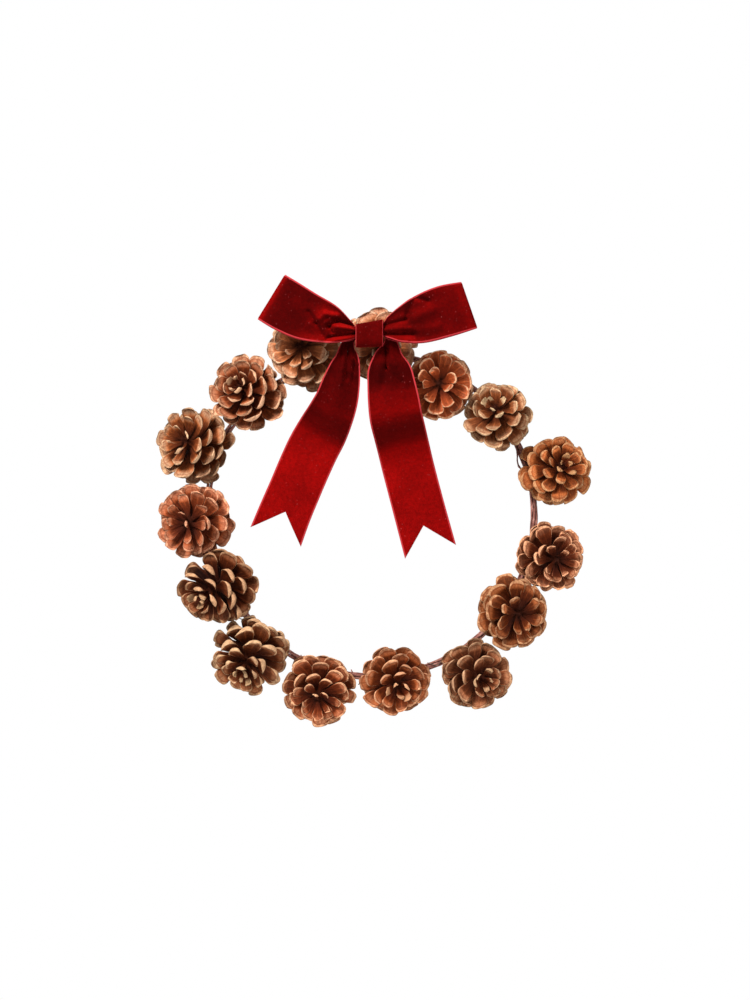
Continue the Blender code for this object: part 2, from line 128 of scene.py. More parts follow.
# Habit of each cone, in the same order. SPOON: how much its scales are hollowed like a spoon, or arched
# where it is below nought. PALE: how far the outer part of the inner faces takes the colour of the rims.
# BED_END: how far out the dark seed beds reach along a scale. OPEN: how much wider the upper scales stand
# open than on a narrow cone. END_THICKNESS: by what the depth of the outer ends below is multiplied.
SPOON = (1.0, 0.9, 0.5, 0.9, 0.7, 0.4, 0.6, 0.7, -0.4, 0.3, -0.8, 0.2, 0.2, 0.6, 0.8)
PALE = (0.40, 0.85, 0.42, 0.30, 0.30, 0.30, 0.26, 0.34, 0.22, 0.42, 0.22, 0.70, 0.22, 0.70, 0.85)
BED_END = (0.82, 0.80, 0.80, 0.84, 0.84, 0.82, 0.82, 0.84, 0.86, 0.86, 0.84, 0.90, 1.01, 0.84, 0.90)
OPEN = (0, 0.5, 0.75, 0, 0, 0.5, 0.3, 0.2, 0.65, 0.6, 0.1, 0.2, 0.7, 0.3, 0.6)
END_THICKNESS = (1.1, 1.1, 1.0, 1.4, 1.75, 1.2, 1.2, 1.2, 1.1, 1.3, 1.1, 1.2, 1.0, 1.1, 1.1)
# The scales at a cone's very tip are withered: more ragged, and pale where OPEN is below this.
WITHERED = 5
PALE_BELOW = 0.4


def unit(vector):
    """Vectors divided by their lengths."""
    return vector / np.linalg.norm(vector, axis=-1, keepdims=True)


def along(table, t):
    """Value at t of a line drawn through (t, value) pairs."""
    return np.interp(t, [row[0] for row in table], [row[1] for row in table])


def bulge(clock):
    """How far the hoop stands out from a circle: a bell curve of BULGE at BULGE_CLOCK, 22 degrees wide."""
    return BULGE * np.exp(-((clock % (2 * math.pi) - BULGE_CLOCK) / math.radians(22)) ** 2)


def front_point(clock, out=0.0, depth=0.0):
    """Point on the ring line at a clock angle, moved outwards by out and forwards by depth.

    Its distance from the ring's centre is the ring's radius plus the bulge plus out, at that clock angle.
    """
    clock, depth = np.asarray(clock, float), np.asarray(depth, float)
    r = RING_RADIUS + bulge(clock) + np.asarray(out, float)
    x, z = r * np.sin(clock), RING_CENTRE_Z + r * np.cos(clock)
    return np.stack(np.broadcast_arrays(x, -depth, z), axis=-1)


def cone_frame(spec):
    """The three directions of a cone's own frame, its axis last, which is straight forwards leant over."""
    lean, towards = math.radians(spec[LEAN]), math.radians(spec[TOWARDS])
    sideways, upwards = math.sin(lean) * math.sin(towards), math.sin(lean) * math.cos(towards)
    axis = np.array((sideways, -math.cos(lean), upwards))
    first = unit(np.cross(axis, (0, 0, 1)))
    return np.array((first, np.cross(axis, first), axis))


def cone_scales(number, spec):
    """Lattice and scales of one cone, its axis up, as arrays with one row for each scale from tip to base.

    Lattice point j stands j golden angles round a spindle 0.80 of the cone high. Scale j grows from the
    cell of points j, j+3, j+8 and j+5, outwards at an elevation from the axis that opens from tip to base.
    Elevation, length, breadth and thickness are lines through values at shares of the way from tip to base,
    changed a little by luck. The fewer scales a cone has, the broader they are.
    """
    width, core, scales, hand = spec[WIDTH] / 1000, 0.80 * spec[HEIGHT] / 1000, spec[SCALES], spec[HAND]
    j = np.arange(scales + 8)
    azimuth = hand * j * GOLDEN_ANGLE + math.radians(spec[TURN])
    down = (j + 0.5) / (scales + 8)
    radius = CORE_RADIUS * along(((0, 0.16), (0.12, 0.45), (0.35, 0.85), (0.65, 1), (0.9, 0.9), (1, 0.7)),
                                 down)
    lattice = np.stack((radius * np.cos(azimuth), radius * np.sin(azimuth), core * (1 - down)), axis=1)
    luck = np.random.default_rng(number).uniform(-1, 1, (scales, 3))
    share = np.arange(scales) / (scales - 1)
    reach = width / 2 - 0.68 * CORE_RADIUS
    wide = OPEN[number - 1]
    elevation = along(((0, 16 + 36 * wide), (0.15, 44 + 26 * wide), (0.35, 66 + 12 * wide),
                       (0.65, 86), (1, 99)), share)
    elevation += (ELEVATION_LUCK + OPEN_ELEVATION_LUCK * wide * (share < 0.35)) * luck[:, 0]
    length = reach * along(((0, 0.36 + 0.36 * wide), (0.15, 0.62 + 0.24 * wide), (0.35, 0.86 + 0.10 * wide),
                            (0.65, 1), (0.85, 0.95), (1, 0.72)), share)
    width *= (46 / scales) ** 0.6
    breadth = width * along(((0, 0.055 + 0.05 * wide), (0.15, 0.155), (0.35, 0.215), (0.6, 0.24), (1, 0.21)),
                            share)
    facing = azimuth[:scales] + hand * math.radians(10)
    nought = np.zeros(scales)
    return {
        "lattice": lattice, "core": core,
        "root": lattice[np.arange(scales)[:, None] + (0, 3, 8, 5)].mean(axis=1),
        "outward": np.stack((np.cos(facing), np.sin(facing), nought), axis=1),
        "sideways": hand * np.stack((-np.sin(facing), np.cos(facing), nought), axis=1),
        "elevation": np.radians(elevation),
        "length": length * (1 + LENGTH_LUCK * luck[:, 1]),
        "breadth": breadth * (1 + BREADTH_LUCK * luck[:, 2]),
        "thick": along(((0, 0.0012), (0.2, 0.0026), (0.5, 0.0038), (1, 0.0034)), share),
    }


def scale_middle(cone, reach, bend, size):
    """Middle of each scale at a share of its length, and the direction its inner face looks there.

    With an angle of elevation + bend from the axis, the middle is the root plus the length so far times
    (sine * outward + cosine * up), and the face looks along sine * up - cosine * outward.
    """
    angle = cone["elevation"] + bend
    sine, cosine = np.sin(angle)[..., None], np.cos(angle)[..., None]
    up = np.array((0, 0, 1.0))
    run = (cone["length"] * size * reach)[..., None]
    return cone["root"] + (sine * cone["outward"] + cosine * up) * run, sine * up - cosine * cone["outward"]


def scale_ends(cone, size):
    """The six outermost points of each scale as the solid has them.

    Four stand round its broadest place, at 0.74 of its length, and two at its tip, 0.27 of its breadth
    either side.
    """
    broad, face = scale_middle(cone, 0.74, -0.05, size)
    tip, _ = scale_middle(cone, 1.0, 0.03, size)
    side, thick = cone["sideways"] * cone["breadth"][:, None], cone["thick"][:, None] * face
    return np.stack((broad + 0.35 * thick, broad + side / 2, broad - 0.65 * thick, broad - side / 2,
                     tip + 0.27 * side, tip - 0.27 * side), axis=-2)


def shortened(cone, directions, base, planes):
    """Size of each scale: the first of 24, each 0.03 shorter, whose ends cross no plane to a neighbour."""
    sizes = 1 - 0.03 * np.arange(24)
    ends = np.stack([scale_ends(cone, size) for size in sizes]) @ directions + base
    clear = np.all([((ends - point) @ away).max(axis=-1) <= 0 for point, away in planes], axis=0)
    clear[-1] = True
    return sizes[clear.argmax(axis=0)]


def cone_mesh(number, cone, size):
    """Points, quads and scale colours of one cone, its axis up.

    Across a scale run eight points: x = side share * half width, y = face share * thickness, about a middle
    line that bends a little up and then down. The root of each scale is the ring of its cell's corners and
    edge middles, so the cells join without a gap. The tip and the stalk close the two ends.
    """
    scales = len(size)
    lattice, total = cone["lattice"], scales + 8
    j3, j5 = np.arange(total - 3), np.arange(total - 5)
    middle3 = (lattice[j3] + lattice[j3 + 3]) / 2
    middle5 = (lattice[j5] + lattice[j5 + 5]) / 2
    luck = np.random.default_rng(100 + number).uniform(-1, 1, (scales, 8))
    twist, yaw = TWIST_LUCK * luck[:, 0], YAW_LUCK * luck[:, 1]
    curl, cup = CURL_LUCK * luck[:, 2], luck[:, 3]
    n = np.arange(scales)
    pale_scales = WITHERED * (OPEN[number - 1] < PALE_BELOW)
    ragged = np.random.default_rng(300 + number).uniform(-1, 1, (len(STATIONS), scales, 8, 3))
    ragged *= (RAGGED + RAGGED_TIP * (n < WITHERED))[:, None, None]
    rings, colours = [], []
    for k, (reach, half, keel, hollow, below) in enumerate(STATIONS):
        below = below * along(((0.68, 1), (0.82, END_THICKNESS[number - 1])), reach)
        bend = along(((0, 0.02), (0.5, -0.03), (0.8, -0.06), (1.035, -0.10 * SPOON[number - 1])), reach)
        bend = bend + curl * reach**2
        middle, face = scale_middle(cone, reach, bend, size)
        side = cone["sideways"] + face * twist[:, None] * reach
        middle = middle + side * (yaw * reach**2 * cone["length"])[:, None]
        uneven = 1 + 0.07 * np.sin(luck[:, 5:6] * 9 + k * 2.1 + np.sign(SECTION_SIDE) * luck[:, 6:7] * 5)
        x = SECTION_SIDE * uneven * (half * cone["breadth"] / 2)[:, None]
        section = np.array((keel, -hollow, 0, -0.78 * below, -below, -0.78 * below, 0, -hollow))
        spoon = (0.09 * SPOON[number - 1] + 0.05 * cup) * cone["breadth"] * reach**2
        y = section * cone["thick"][:, None] + SECTION_SIDE**2 * spoon[:, None]
        ring = middle[:, None] + side[:, None] * x[..., None] + face[:, None] * y[..., None]
        rings.append(ring + ragged[k] * (k > 3))
        tint = np.empty((scales, 8, 4))
        tint[..., 0], tint[..., 1] = reach, 0.5 + 0.5 * SECTION_SIDE
        tint[..., 2], tint[..., 3] = INNER, 0.5 + 0.5 * luck[:, 4:5] + 2 * (n < pale_scales)[:, None]
        colours.append(tint)
    points = [lattice, middle3, middle5, np.stack(rings, axis=1).reshape(-1, 3)]
    at3, at5 = total, total + len(middle3)
    first = at5 + len(middle5)
    ring = [np.stack((n, at3 + n, n + 3, at5 + n + 3, n + 8, at3 + n + 5, n + 5, at5 + n), axis=1)]
    ring += [first + (n[:, None] * len(STATIONS) + k) * 8 + np.arange(8) for k in range(len(STATIONS))]
    faces = [np.stack((a, np.roll(a, -1, 1), np.roll(b, -1, 1), b), axis=-1).reshape(-1, 4)
             for a, b in zip(ring, ring[1:])]
    caps = [ring[-1][:, corners] for corners in ((0, 1, 2, 6, 7), (2, 3, 4, 5, 6))]
    # Round the tip: the first eight lattice points in order of azimuth, and the edge middles between them.
    order = np.array((0, 3, 6, 1, 4, 7, 2, 5))
    between = np.array((at3, at3 + 3, at5 + 1, at3 + 1, at3 + 4, at5 + 2, at3 + 2, at5))
    apex = first + scales * len(STATIONS) * 8
    points.append(np.array(((0, 0, cone["core"] * 1.02),)))
    faces.append(np.stack((np.roll(between, -1), np.roll(order, -1), between, np.full(8, apex)), axis=1))
    low = np.stack((order, between), axis=1).reshape(-1) + scales
    turn = np.arctan2(*np.concatenate(points)[low][:, 1::-1].T)
    upper, lower = low, apex + 1 + np.arange(16)
    for height, share in ((-0.0004, 1.0), (-STEM_LENGTH, 0.9)):
        r = STEM_RADIUS * share
        points.append(np.stack((r * np.cos(turn), r * np.sin(turn), np.full(16, height)), axis=1))
        faces.append(np.stack((upper, np.roll(upper, -1), np.roll(lower, -1), lower), axis=1))
        upper, lower = lower, lower + 16
    points = np.concatenate(points)
    tints = np.tile((0.0, 0.5, 0.5, 0.5), (len(points), 1))
    tints[first:apex] = np.stack(colours, axis=1).reshape(-1, 4)
    rims = np.concatenate([block[:, (2, 6)].reshape(-1) for block in ring[2:]])
    faces = np.concatenate(faces).tolist() + np.concatenate(caps).tolist() + [upper.tolist()]
    return points, faces, tints, rims


def add(name, points, faces, finish):
    """A smooth mesh object at the origin, with its place in its points, riding on the wreath's one body."""
    mesh = bpy.data.meshes.new(name)
    mesh.from_pydata(points, [], faces)
    mesh.polygons.foreach_set("use_smooth", [True] * len(mesh.polygons))
    mesh.materials.append(finish)
    piece = bpy.data.objects.new(name, mesh)
    bpy.context.scene.collection.objects.link(piece)
    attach(piece, "root")
    return piece


def colour_points(piece, name, values):
    """A colour attribute, one value of red, green, blue and alpha for each point."""
    layer = piece.data.attributes.new(name, "FLOAT_COLOR", "POINT")
    layer.data.foreach_set("color", np.asarray(values, float).reshape(-1))


def crease(piece, rims, sharpness):
    """Sharpens, for the subdivision, the edges that join two of the given points."""
    mesh = piece.data
    pairs = np.empty(2 * len(mesh.edges), np.int32)
    mesh.edges.foreach_get("vertices", pairs)
    sharp = np.isin(pairs.reshape(-1, 2), rims).all(axis=1) * sharpness
    mesh.attributes.new("crease_edge", "FLOAT", "EDGE").data.foreach_set("value", sharp.astype(np.float32))


def subdivide(piece):
    """Rounds a mesh off with one level of subdivision."""
    smoother = piece.modifiers.new("smooth", "SUBSURF")
    smoother.levels = 1
    smoother.render_levels = 1


def finish_named(name):
    """A new material with a shader to wire."""
    made = bpy.data.materials.new(name)
    made.use_nodes = True
    return made


def node(made, kind, inputs=None, **settings):
    """Adds a node to a material or a world. An input given as a socket is linked, any other value is set."""
    new = made.node_tree.nodes.new(kind)
    for key, value in settings.items():
        setattr(new, key, value)
    for key, value in (inputs or {}).items():
        if isinstance(value, bpy.types.NodeSocket):
            made.node_tree.links.new(value, new.inputs[key])
        else:
            new.inputs[key].default_value = value
    return new


def calc(made, operation, *values):
    """One arithmetic step on sockets or numbers."""
    return node(made, "ShaderNodeMath", dict(enumerate(values)), operation=operation).outputs[0]


def product(made, *factors):
    """All factors multiplied together, sockets or numbers."""
    total = factors[0]
    for factor in factors[1:]:
        total = calc(made, "MULTIPLY", total, factor)
    return total


def fade(made, value, start, end, low=0.0, high=1.0):
    """Smooth step of a value: low up to start, high from end on."""
    inputs = {0: value, 1: start, 2: end, 3: low, 4: high}
    return node(made, "ShaderNodeMapRange", inputs, interpolation_type="SMOOTHSTEP").outputs[0]


def mixed(made, amount, first, second, blend="MIX"):
    """Two colours mixed. A colour is given as three numbers or as a socket."""
    colours = [(*c, 1) if isinstance(c, tuple) else c for c in (first, second)]
    inputs = {0: amount, 6: colours[0], 7: colours[1]}
    return node(made, "ShaderNodeMix", inputs, data_type="RGBA", blend_type=blend).outputs[2]


def ramp(made, value, stops):
    """Colour ramp through (place, colour) pairs."""
    new = node(made, "ShaderNodeValToRGB", {0: value})
    elements = new.color_ramp.elements
    elements.remove(elements[-1])
    elements[0].position, elements[0].color = stops[0][0], (*stops[0][1], 1)
    for place, colour in stops[1:]:
        elements.new(place).color = (*colour, 1)
    return new.outputs[0]


def toned(made, colour, value, stops):
    """A colour multiplied by a colour ramp of a value."""
    return mixed(made, 1.0, colour, ramp(made, value, stops), "MULTIPLY")


def noise(made, at, scale, detail, roughness):
    """Noise of 0 to 1 with about scale patches to a metre, finer ones added for detail."""
    inputs = {"Vector": at, "Scale": scale, "Detail": detail, "Roughness": roughness}
    return node(made, "ShaderNodeTexNoise", inputs).outputs[0]


def shade(made, colour, roughness, height, depth, **constants):
    """Wires a material's shader: colour, roughness, a bump of height times depth in metres, constants."""
    surface = made.node_tree.nodes["Principled BSDF"]
    bump = node(made, "ShaderNodeBump", {"Strength": 1.0, "Distance": depth, "Height": height})
    links = made.node_tree.links
    links.new(colour, surface.inputs["Base Color"])
    links.new(roughness, surface.inputs["Roughness"])
    links.new(bump.outputs[0], surface.inputs["Normal"])
    for key, value in constants.items():
        surface.inputs[key.replace("_", " ")].default_value = value


def dimmed(colour, *shares):
    """A colour with its red, green and blue each multiplied by a share."""
    return tuple(c * share for c, share in zip(colour, shares))


# Painted shade: the nearly black colour that the scales darken to towards their roots, deep in the cone.
ROOT_SHADE = (0.030, 0.006, 0.002)


def pine_finish(number, face, tip):
    """Dry pine wood: a pale outer end, a browner inner face and dark seed beds. Painted shade darkens each
    scale to nearly black towards its root and in a band just inside its rim, and a painted highlight
    runs along the rim.

    The attribute scale says where on its scale each point lies: how far out, how far across, whether on the
    inner face, and the scale's luck. Each mark is a product of fades along these, mixed over what lies
    below it.
    """
    made = finish_named(f"pine wood {number}")
    pale, bed_end = PALE[number - 1], BED_END[number - 1]
    scale = node(made, "ShaderNodeAttribute", attribute_name="scale")
    out, across, inner = node(made, "ShaderNodeSeparateColor", {0: scale.outputs["Color"]}).outputs
    luck = scale.outputs["Alpha"]
    at = node(made, "ShaderNodeTexCoord").outputs["Object"]
    side = calc(made, "ABSOLUTE", calc(made, "MULTIPLY_ADD", across, 2.0, -1.0))
    grain_axes = {0: product(made, across, 1.6), 1: product(made, out, 0.35), 2: product(made, luck, 57.0)}
    grain_at = node(made, "ShaderNodeCombineXYZ", grain_axes).outputs[0]
    grain = noise(made, grain_at, 11.0, 5.0, 0.65)
    mottle = noise(made, at, 260.0, 4.0, 0.65)
    flecks = noise(made, at, 1100.0, 3.0, 0.6)
    bloom = noise(made, at, 150.0, 3.0, 0.6)
    outer_part = tuple((1 - pale) * f + pale * t for f, t in zip(face, tip))
    # Painted shade: both faces darken from the wood's own colour to nearly black towards the root.
    inner_face = ramp(made, out, (
        (0.0, ROOT_SHADE), (0.36, dimmed(face, 0.16, 0.10, 0.07)), (0.55, dimmed(face, 0.5, 0.4, 0.34)),
        (0.72, dimmed(face, 0.92, 0.85, 0.78)), (0.90, outer_part), (1.0, outer_part)))
    outer_face = ramp(made, out, (
        (0.0, ROOT_SHADE), (0.45, dimmed(face, 0.25, 0.2, 0.18)), (0.70, dimmed(face, 0.7, 0.6, 0.55)),
        (0.80, dimmed(tip, 0.80, 0.70, 0.62)), (0.94, dimmed(tip, 1.02, 1.0, 1.0)),
        (1.0, dimmed(tip, 1.1, 1.1, 1.1))))
    dusted = product(made, fade(made, bloom, 0.50, 0.66), fade(made, out, 0.55, 0.85, 0.0, 0.45))
    inner_face = mixed(made, dusted, inner_face, dimmed(tip, 0.80, 0.74, 0.70))
    colour = mixed(made, fade(made, inner, 0.40, 0.56), outer_face, inner_face)
    within = calc(made, "MULTIPLY_ADD", fade(made, luck, 0.70, 0.88), -0.15, out)
    lobes = product(made, fade(made, side, 0.02, 0.12, 0.6, 1.0), fade(made, side, 0.98, 0.80))
    bed = product(made, fade(made, out, 0.25, 0.36), fade(made, within, bed_end, bed_end - 0.14), lobes,
                  fade(made, inner, 0.5, 0.9), 0.80)
    colour = mixed(made, bed, colour, dimmed(face, 0.17, 0.11, 0.09))
    keel = product(made, fade(made, side, 0.10, 0.02), fade(made, out, 0.55, 0.75),
                   fade(made, out, 0.98, 0.86, 0.1, 0.42))
    colour = mixed(made, keel, colour, dimmed(face, 0.42, 0.30, 0.25))
    towards_end = calc(made, "POWER", fade(made, out, 0.66, 1.02), 3.0)
    edge = calc(made, "POWER", calc(made, "ADD", calc(made, "POWER", side, 3.0), towards_end), 0.333)
    edge = calc(made, "MULTIPLY_ADD", mottle, 0.10, calc(made, "ADD", edge, -0.05))
    outer = fade(made, out, 0.50, 0.66)
    # Painted shade: a darker band just inside each scale's rim.
    beside = product(made, fade(made, edge, 0.74, 0.88), outer, fade(made, inner, 0.52, 0.62), 0.5)
    colour = mixed(made, beside, colour, dimmed(face, 0.46, 0.32, 0.26))
    # Painted highlight: a pale band along each scale's rim, brighter than its outer end.
    rim = product(made, fade(made, edge, 0.91, 0.98), outer, fade(made, mottle, 0.36, 0.54, 0.4, 0.95))
    colour = mixed(made, rim, colour, dimmed(tip, 1.3, 1.28, 1.22))
    umbo = product(made, fade(made, side, 0.42, 0.16), fade(made, inner, 0.35, 0.05),
                   fade(made, out, 0.80, 0.86), fade(made, out, 0.99, 0.93), 0.8)
    colour = mixed(made, umbo, colour, dimmed(tip, 0.48, 0.43, 0.40))
    for value, stops in (
            (grain, ((0.25, (0.66, 0.59, 0.55)), (0.5, (0.98, 0.97, 0.96)), (0.75, (1.22, 1.20, 1.18)))),
            (mottle, ((0.3, (0.72, 0.66, 0.62)), (0.7, (1.16, 1.18, 1.22)))),
            (flecks, ((0.25, (0.70, 0.66, 0.64)), (0.5, (1.0, 1.0, 1.0)), (0.75, (1.2, 1.2, 1.22)))),
            (luck, ((0.0, (0.76, 0.72, 0.70)), (1.0, (1.16, 1.16, 1.14))))):
        colour = toned(made, colour, value, stops)
    withered = product(made, fade(made, luck, 1.2, 1.8), fade(made, out, 0.55, 0.80, 0.0, 0.75))
    colour = mixed(made, withered, colour, dimmed(tip, 1.05, 1.05, 0.95))
    height = calc(made, "MULTIPLY_ADD", mottle, 0.5, calc(made, "MULTIPLY_ADD", flecks, 0.3, grain))
    shade(made, colour, fade(made, grain, 0.3, 0.7, 0.72, 0.52), height, 0.0009, Specular_IOR_Level=0.06)
    return made


# Each cone is brought forwards or back until its foremost scale end stands as far forward as its solid.
cones, bases, directions = [], [], []
for number, spec in enumerate(CONES, 1):
    cone = cone_scales(number, spec)
    direction = cone_frame(spec)
    clock = math.radians(spec[CLOCK])
    base = front_point(clock, spec[OUT] / 1000 - bulge(clock))
    foremost = (scale_ends(cone, 1.0) @ direction + base)[..., 1].min()
    base[1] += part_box(f"pinecone_{number:02d}")[0][1] - foremost
    cones.append(cone)
    bases.append(base)
    directions.append(direction)
# A plane between each two neighbours, nearer to the narrower one, is what the scales of neither may cross.
middles = [base + direction[2] * spec[HEIGHT] / 1000 * BULK_MIDDLE
           for spec, base, direction in zip(CONES, bases, directions)]
limits = []
for i, spec in enumerate(CONES):
    planes = []
    for j in ((i + 1) % len(CONES), i - 1):
        apart = middles[j] - middles[i]
        share = spec[WIDTH] / (spec[WIDTH] + CONES[j][WIDTH])
        planes.append((middles[i] + apart * share - unit(apart) * CONE_GAP, unit(apart)))
    limits.append(planes)
for number, spec in enumerate(CONES, 1):
    cone, base, direction = cones[number - 1], bases[number - 1], directions[number - 1]
    size = shortened(cone, direction, base, limits[number - 1])
    points, faces, tints, rims = cone_mesh(number, cone, size)
    if spec[HAND] > 0:
        faces = [face[::-1] for face in faces]
    piece = add(f"cone_{number:02d}", points @ direction + base, faces,
                pine_finish(number, *WOOD[number - 1]))
    colour_points(piece, "scale", tints)
    crease(piece, rims, RIM_SHARPNESS)
    subdivide(piece)
    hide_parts(f"pinecone_{number:02d}")


# Ring: four lengths of thin reddish vine, pulled green, twisted round each other into a hoop and dried
# there. Two thin runners are wound over them, their side shoots are cut to stubs, and one thin end has
# sprung away from the ring into a small open loop on its inner side.
VINES = 4
VINE_TURNS = 4
VINE_STEPS = 481
# The cut ends of each strand meet behind a cone: clock angle of the first's, and on from each to the next.
FIRST_ENDS, ENDS_APART = 40, 97
# Runners: clock angles where each starts and stops, turns round the strands, phase.
RUNNERS = ((8, 352, 9.3, 0.4), (200, 535, 7.6, 2.9))
RUNNER_RADIUS, RUNNER_STEPS = 0.00045, 421
# Stubs: how many, distance of foot and end from the ring line, lean along it, radius from foot to end.
STUBS = 26
STUB_FOOT, STUB_END = 0.0022, 0.0046
STUB_LEAN = 0.012
STUB_RADIUS = np.array((0.0007, 0.0006, 0.00055, 0.0003))
# The sprung loop: clock angle, millimetres outwards and forwards.
SPRUNG_RADIUS = 0.0006
SPRUNG_LOOP = (
    (61, -2.0, 2.4), (65, -2.6, 2.6), (67.5, -4.0, 2.2), (69.5, -5.6, 1.6), (71.5, -5.8, 1.0),
    (73.5, -4.2, 0.6), (76, -2.8, 1.4), (80, -2.0, 2.6),
)


def curve_through(points, count):
    """count points at even steps along a smooth (Catmull-Rom) curve through the given points."""
    p = np.array(points, float)
    p = np.vstack([2 * p[0] - p[1], p, 2 * p[-1] - p[-2]])
    t = np.linspace(0, len(points) - 1, count)
    i = np.minimum(t.astype(int), len(points) - 2)
    f = (t - i)[:, None]
    a, b, c, d = p[i], p[i + 1], p[i + 2], p[i + 3]
    return 0.5 * (2 * b + (c - a) * f + (2 * a - 5 * b + 4 * c - d) * f**2 + (3 * b - a - 3 * c + d) * f**3)


def free_path(places):
    """Smooth path of 60 points through places given as clock angle, millimetres outwards and forwards."""
    points = [front_point(math.radians(clock), out / 1000, depth / 1000) for clock, out, depth in places]
    return curve_through(points, 60)


def tube(path, radius, sides):
    """Points and faces of a tube with closed ends: a circle carried along a path.

    The radius is one number, one for each point of the path, or one for each point of the tube. The
    circle's side direction is turned as little as possible from each point of the path to the next.
    """
    path = np.asarray(path, float)
    ahead = unit(np.gradient(path, axis=0))
    side = np.empty_like(path)
    last = np.cross(ahead[0], (0.31, 0.87, 0.39))
    for i, direction in enumerate(ahead):
        last = unit(last - direction * (last @ direction))
        side[i] = last
    turn = np.arange(sides) * 2 * math.pi / sides
    radius = np.broadcast_to(np.asarray(radius, float).reshape(-1, 1) if np.ndim(radius) < 2 else radius,
                             (len(path), sides))[..., None]
    across = np.cos(turn)[:, None] * side[:, None] + np.sin(turn)[:, None] * np.cross(ahead, side)[:, None]
    points = (path[:, None] + radius * across).reshape(-1, 3)
    ring = np.arange(len(path))[:, None] * sides + np.arange(sides)
    a, b = ring[:-1], ring[1:]
    faces = np.stack((a, np.roll(a, -1, 1), np.roll(b, -1, 1), b), axis=-1).reshape(-1, 4)
    return points, faces.tolist() + [ring[0, ::-1].tolist(), ring[-1].tolist()]


def bark_radius(radius, steps, sides, seed):
    """Radius at each point of a vine.

    It is the vine's radius times a sum: slow waves of swelling, three ribs that twist along it, fine
    roughness, and nine bud scars, each a narrow bell curve along the vine that is stronger on one side.
    """
    random = np.random.default_rng(seed)
    s, turn = np.linspace(0, 1, steps)[:, None], np.arange(sides) * 2 * math.pi / sides
    swelling = 0.07 * np.sin(2 * math.pi * (11 * s + random.random())) + 0.05 * np.sin(2 * math.pi * 29 * s)
    ribs = 0.07 * np.sin(3 * turn + 2 * math.pi * (7 * s + random.random()))
    rough = 0.05 * random.normal(size=(steps, sides))
    scars = sum(0.34 * np.exp(-((s - at) * steps / 2.6) ** 2) * (1.1 + np.cos(turn - 6.3 * random.random()))
                for at in random.random(9)) * 0.5
    return radius * (1 + swelling + ribs + rough + scars) * 0.95


def vine_finish():
    """Thin dry bark: reddish brown, paler in patches, with a fine grain, and painted shade darkening its
    creases.
    """
    made = finish_named("vine bark")
    at = node(made, "ShaderNodeTexCoord").outputs["Object"]
    patches = noise(made, at, 140.0, 4.0, 0.6)
    grain = noise(made, at, 900.0, 4.0, 0.7)
    hollow = node(made, "ShaderNodeNewGeometry").outputs["Pointiness"]
    colour = ramp(made, patches, ((0.30, (0.11, 0.038, 0.029)), (0.50, (0.23, 0.088, 0.067)),
                                  (0.72, (0.40, 0.20, 0.16))))
    colour = toned(made, colour, grain, ((0.3, (0.55, 0.5, 0.5)), (0.7, (1.3, 1.3, 1.3))))
    # Painted shade: the bark darkens to nearly black in its creases, where the surface is hollow.
    colour = mixed(made, fade(made, hollow, 0.50, 0.42), colour, (0.02, 0.008, 0.007))
    shade(made, colour, fade(made, patches, 0.3, 0.7, 0.85, 0.65), grain, 0.0006, Specular_IOR_Level=0.2)
    return made


bark = vine_finish()
for k in range(VINES):
    clock = math.radians(FIRST_ENDS + ENDS_APART * k) + 2 * math.pi * np.linspace(0.002, 0.998, VINE_STEPS)
    turn = 2 * math.pi * k / VINES + VINE_TURNS * clock
    path = front_point(clock, VINE_OFFSET * np.cos(turn), VINE_OFFSET * np.sin(turn))
    strand = add(f"vine_{k + 1}", *tube(path, bark_radius(VINE_RADIUS, VINE_STEPS, 10, 200 + k), 10), bark)
    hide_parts(f"vine_strand_{k + 1}")
for k, (start, stop, turns_round, phase) in enumerate(RUNNERS):
    clock = np.radians(np.linspace(start, stop, RUNNER_STEPS))
    turn = phase + turns_round * clock
    out = BUNDLE_RADIUS - 0.0004 + 0.0003 * np.sin(17 * clock)
    path = front_point(clock, out * np.cos(turn), out * np.sin(turn))
    radius = bark_radius(RUNNER_RADIUS, RUNNER_STEPS, 7, 210 + k)
    runner = add(f"vine_runner_{k + 1}", *tube(path, radius, 7), bark)
stubs = []
for k, clock in enumerate(np.random.default_rng(240).uniform(0, 2 * math.pi, STUBS)):
    turn = k * GOLDEN_ANGLE
    foot = front_point(clock, STUB_FOOT * math.cos(turn), STUB_FOOT * math.sin(turn))
    end = front_point(clock + STUB_LEAN, STUB_END * math.cos(turn), STUB_END * math.sin(turn))
    stubs.append(tube(np.linspace(foot, end, len(STUB_RADIUS)), STUB_RADIUS, 6))
starts = np.cumsum([0] + [len(points) for points, _ in stubs])
faces = [[corner + start for corner in face] for (_, stub), start in zip(stubs, starts) for face in stub]
add("vine_stubs", np.concatenate([points for points, _ in stubs]), faces, bark)
loop = free_path(SPRUNG_LOOP)
sprung = add("vine_sprung_loop", *tube(loop, bark_radius(SPRUNG_RADIUS, len(loop), 8, 220), 8), bark)


# Binding wires: annealed iron wire with thin brown paint, one to a cone. Each goes round the ring, hooks
# over the cone's stalk, and its two ends are twisted together behind the ring.
WIRE_RADIUS = 0.00045
WIRE_STEPS = 90
WIRE_ON_STEM = 0.0030
WIRE_GAP = 0.0003
# A wire's legs are drawn in millimetres about a ring of this radius, then scaled to the real one's.
DRAWN_RADIUS, SLACK = 4.7, 1.06
# The twist behind the ring: turn, and millimetres back.
TWIST = ((3.1, 9.7), (1.55, 7.7), (0, 5.7))


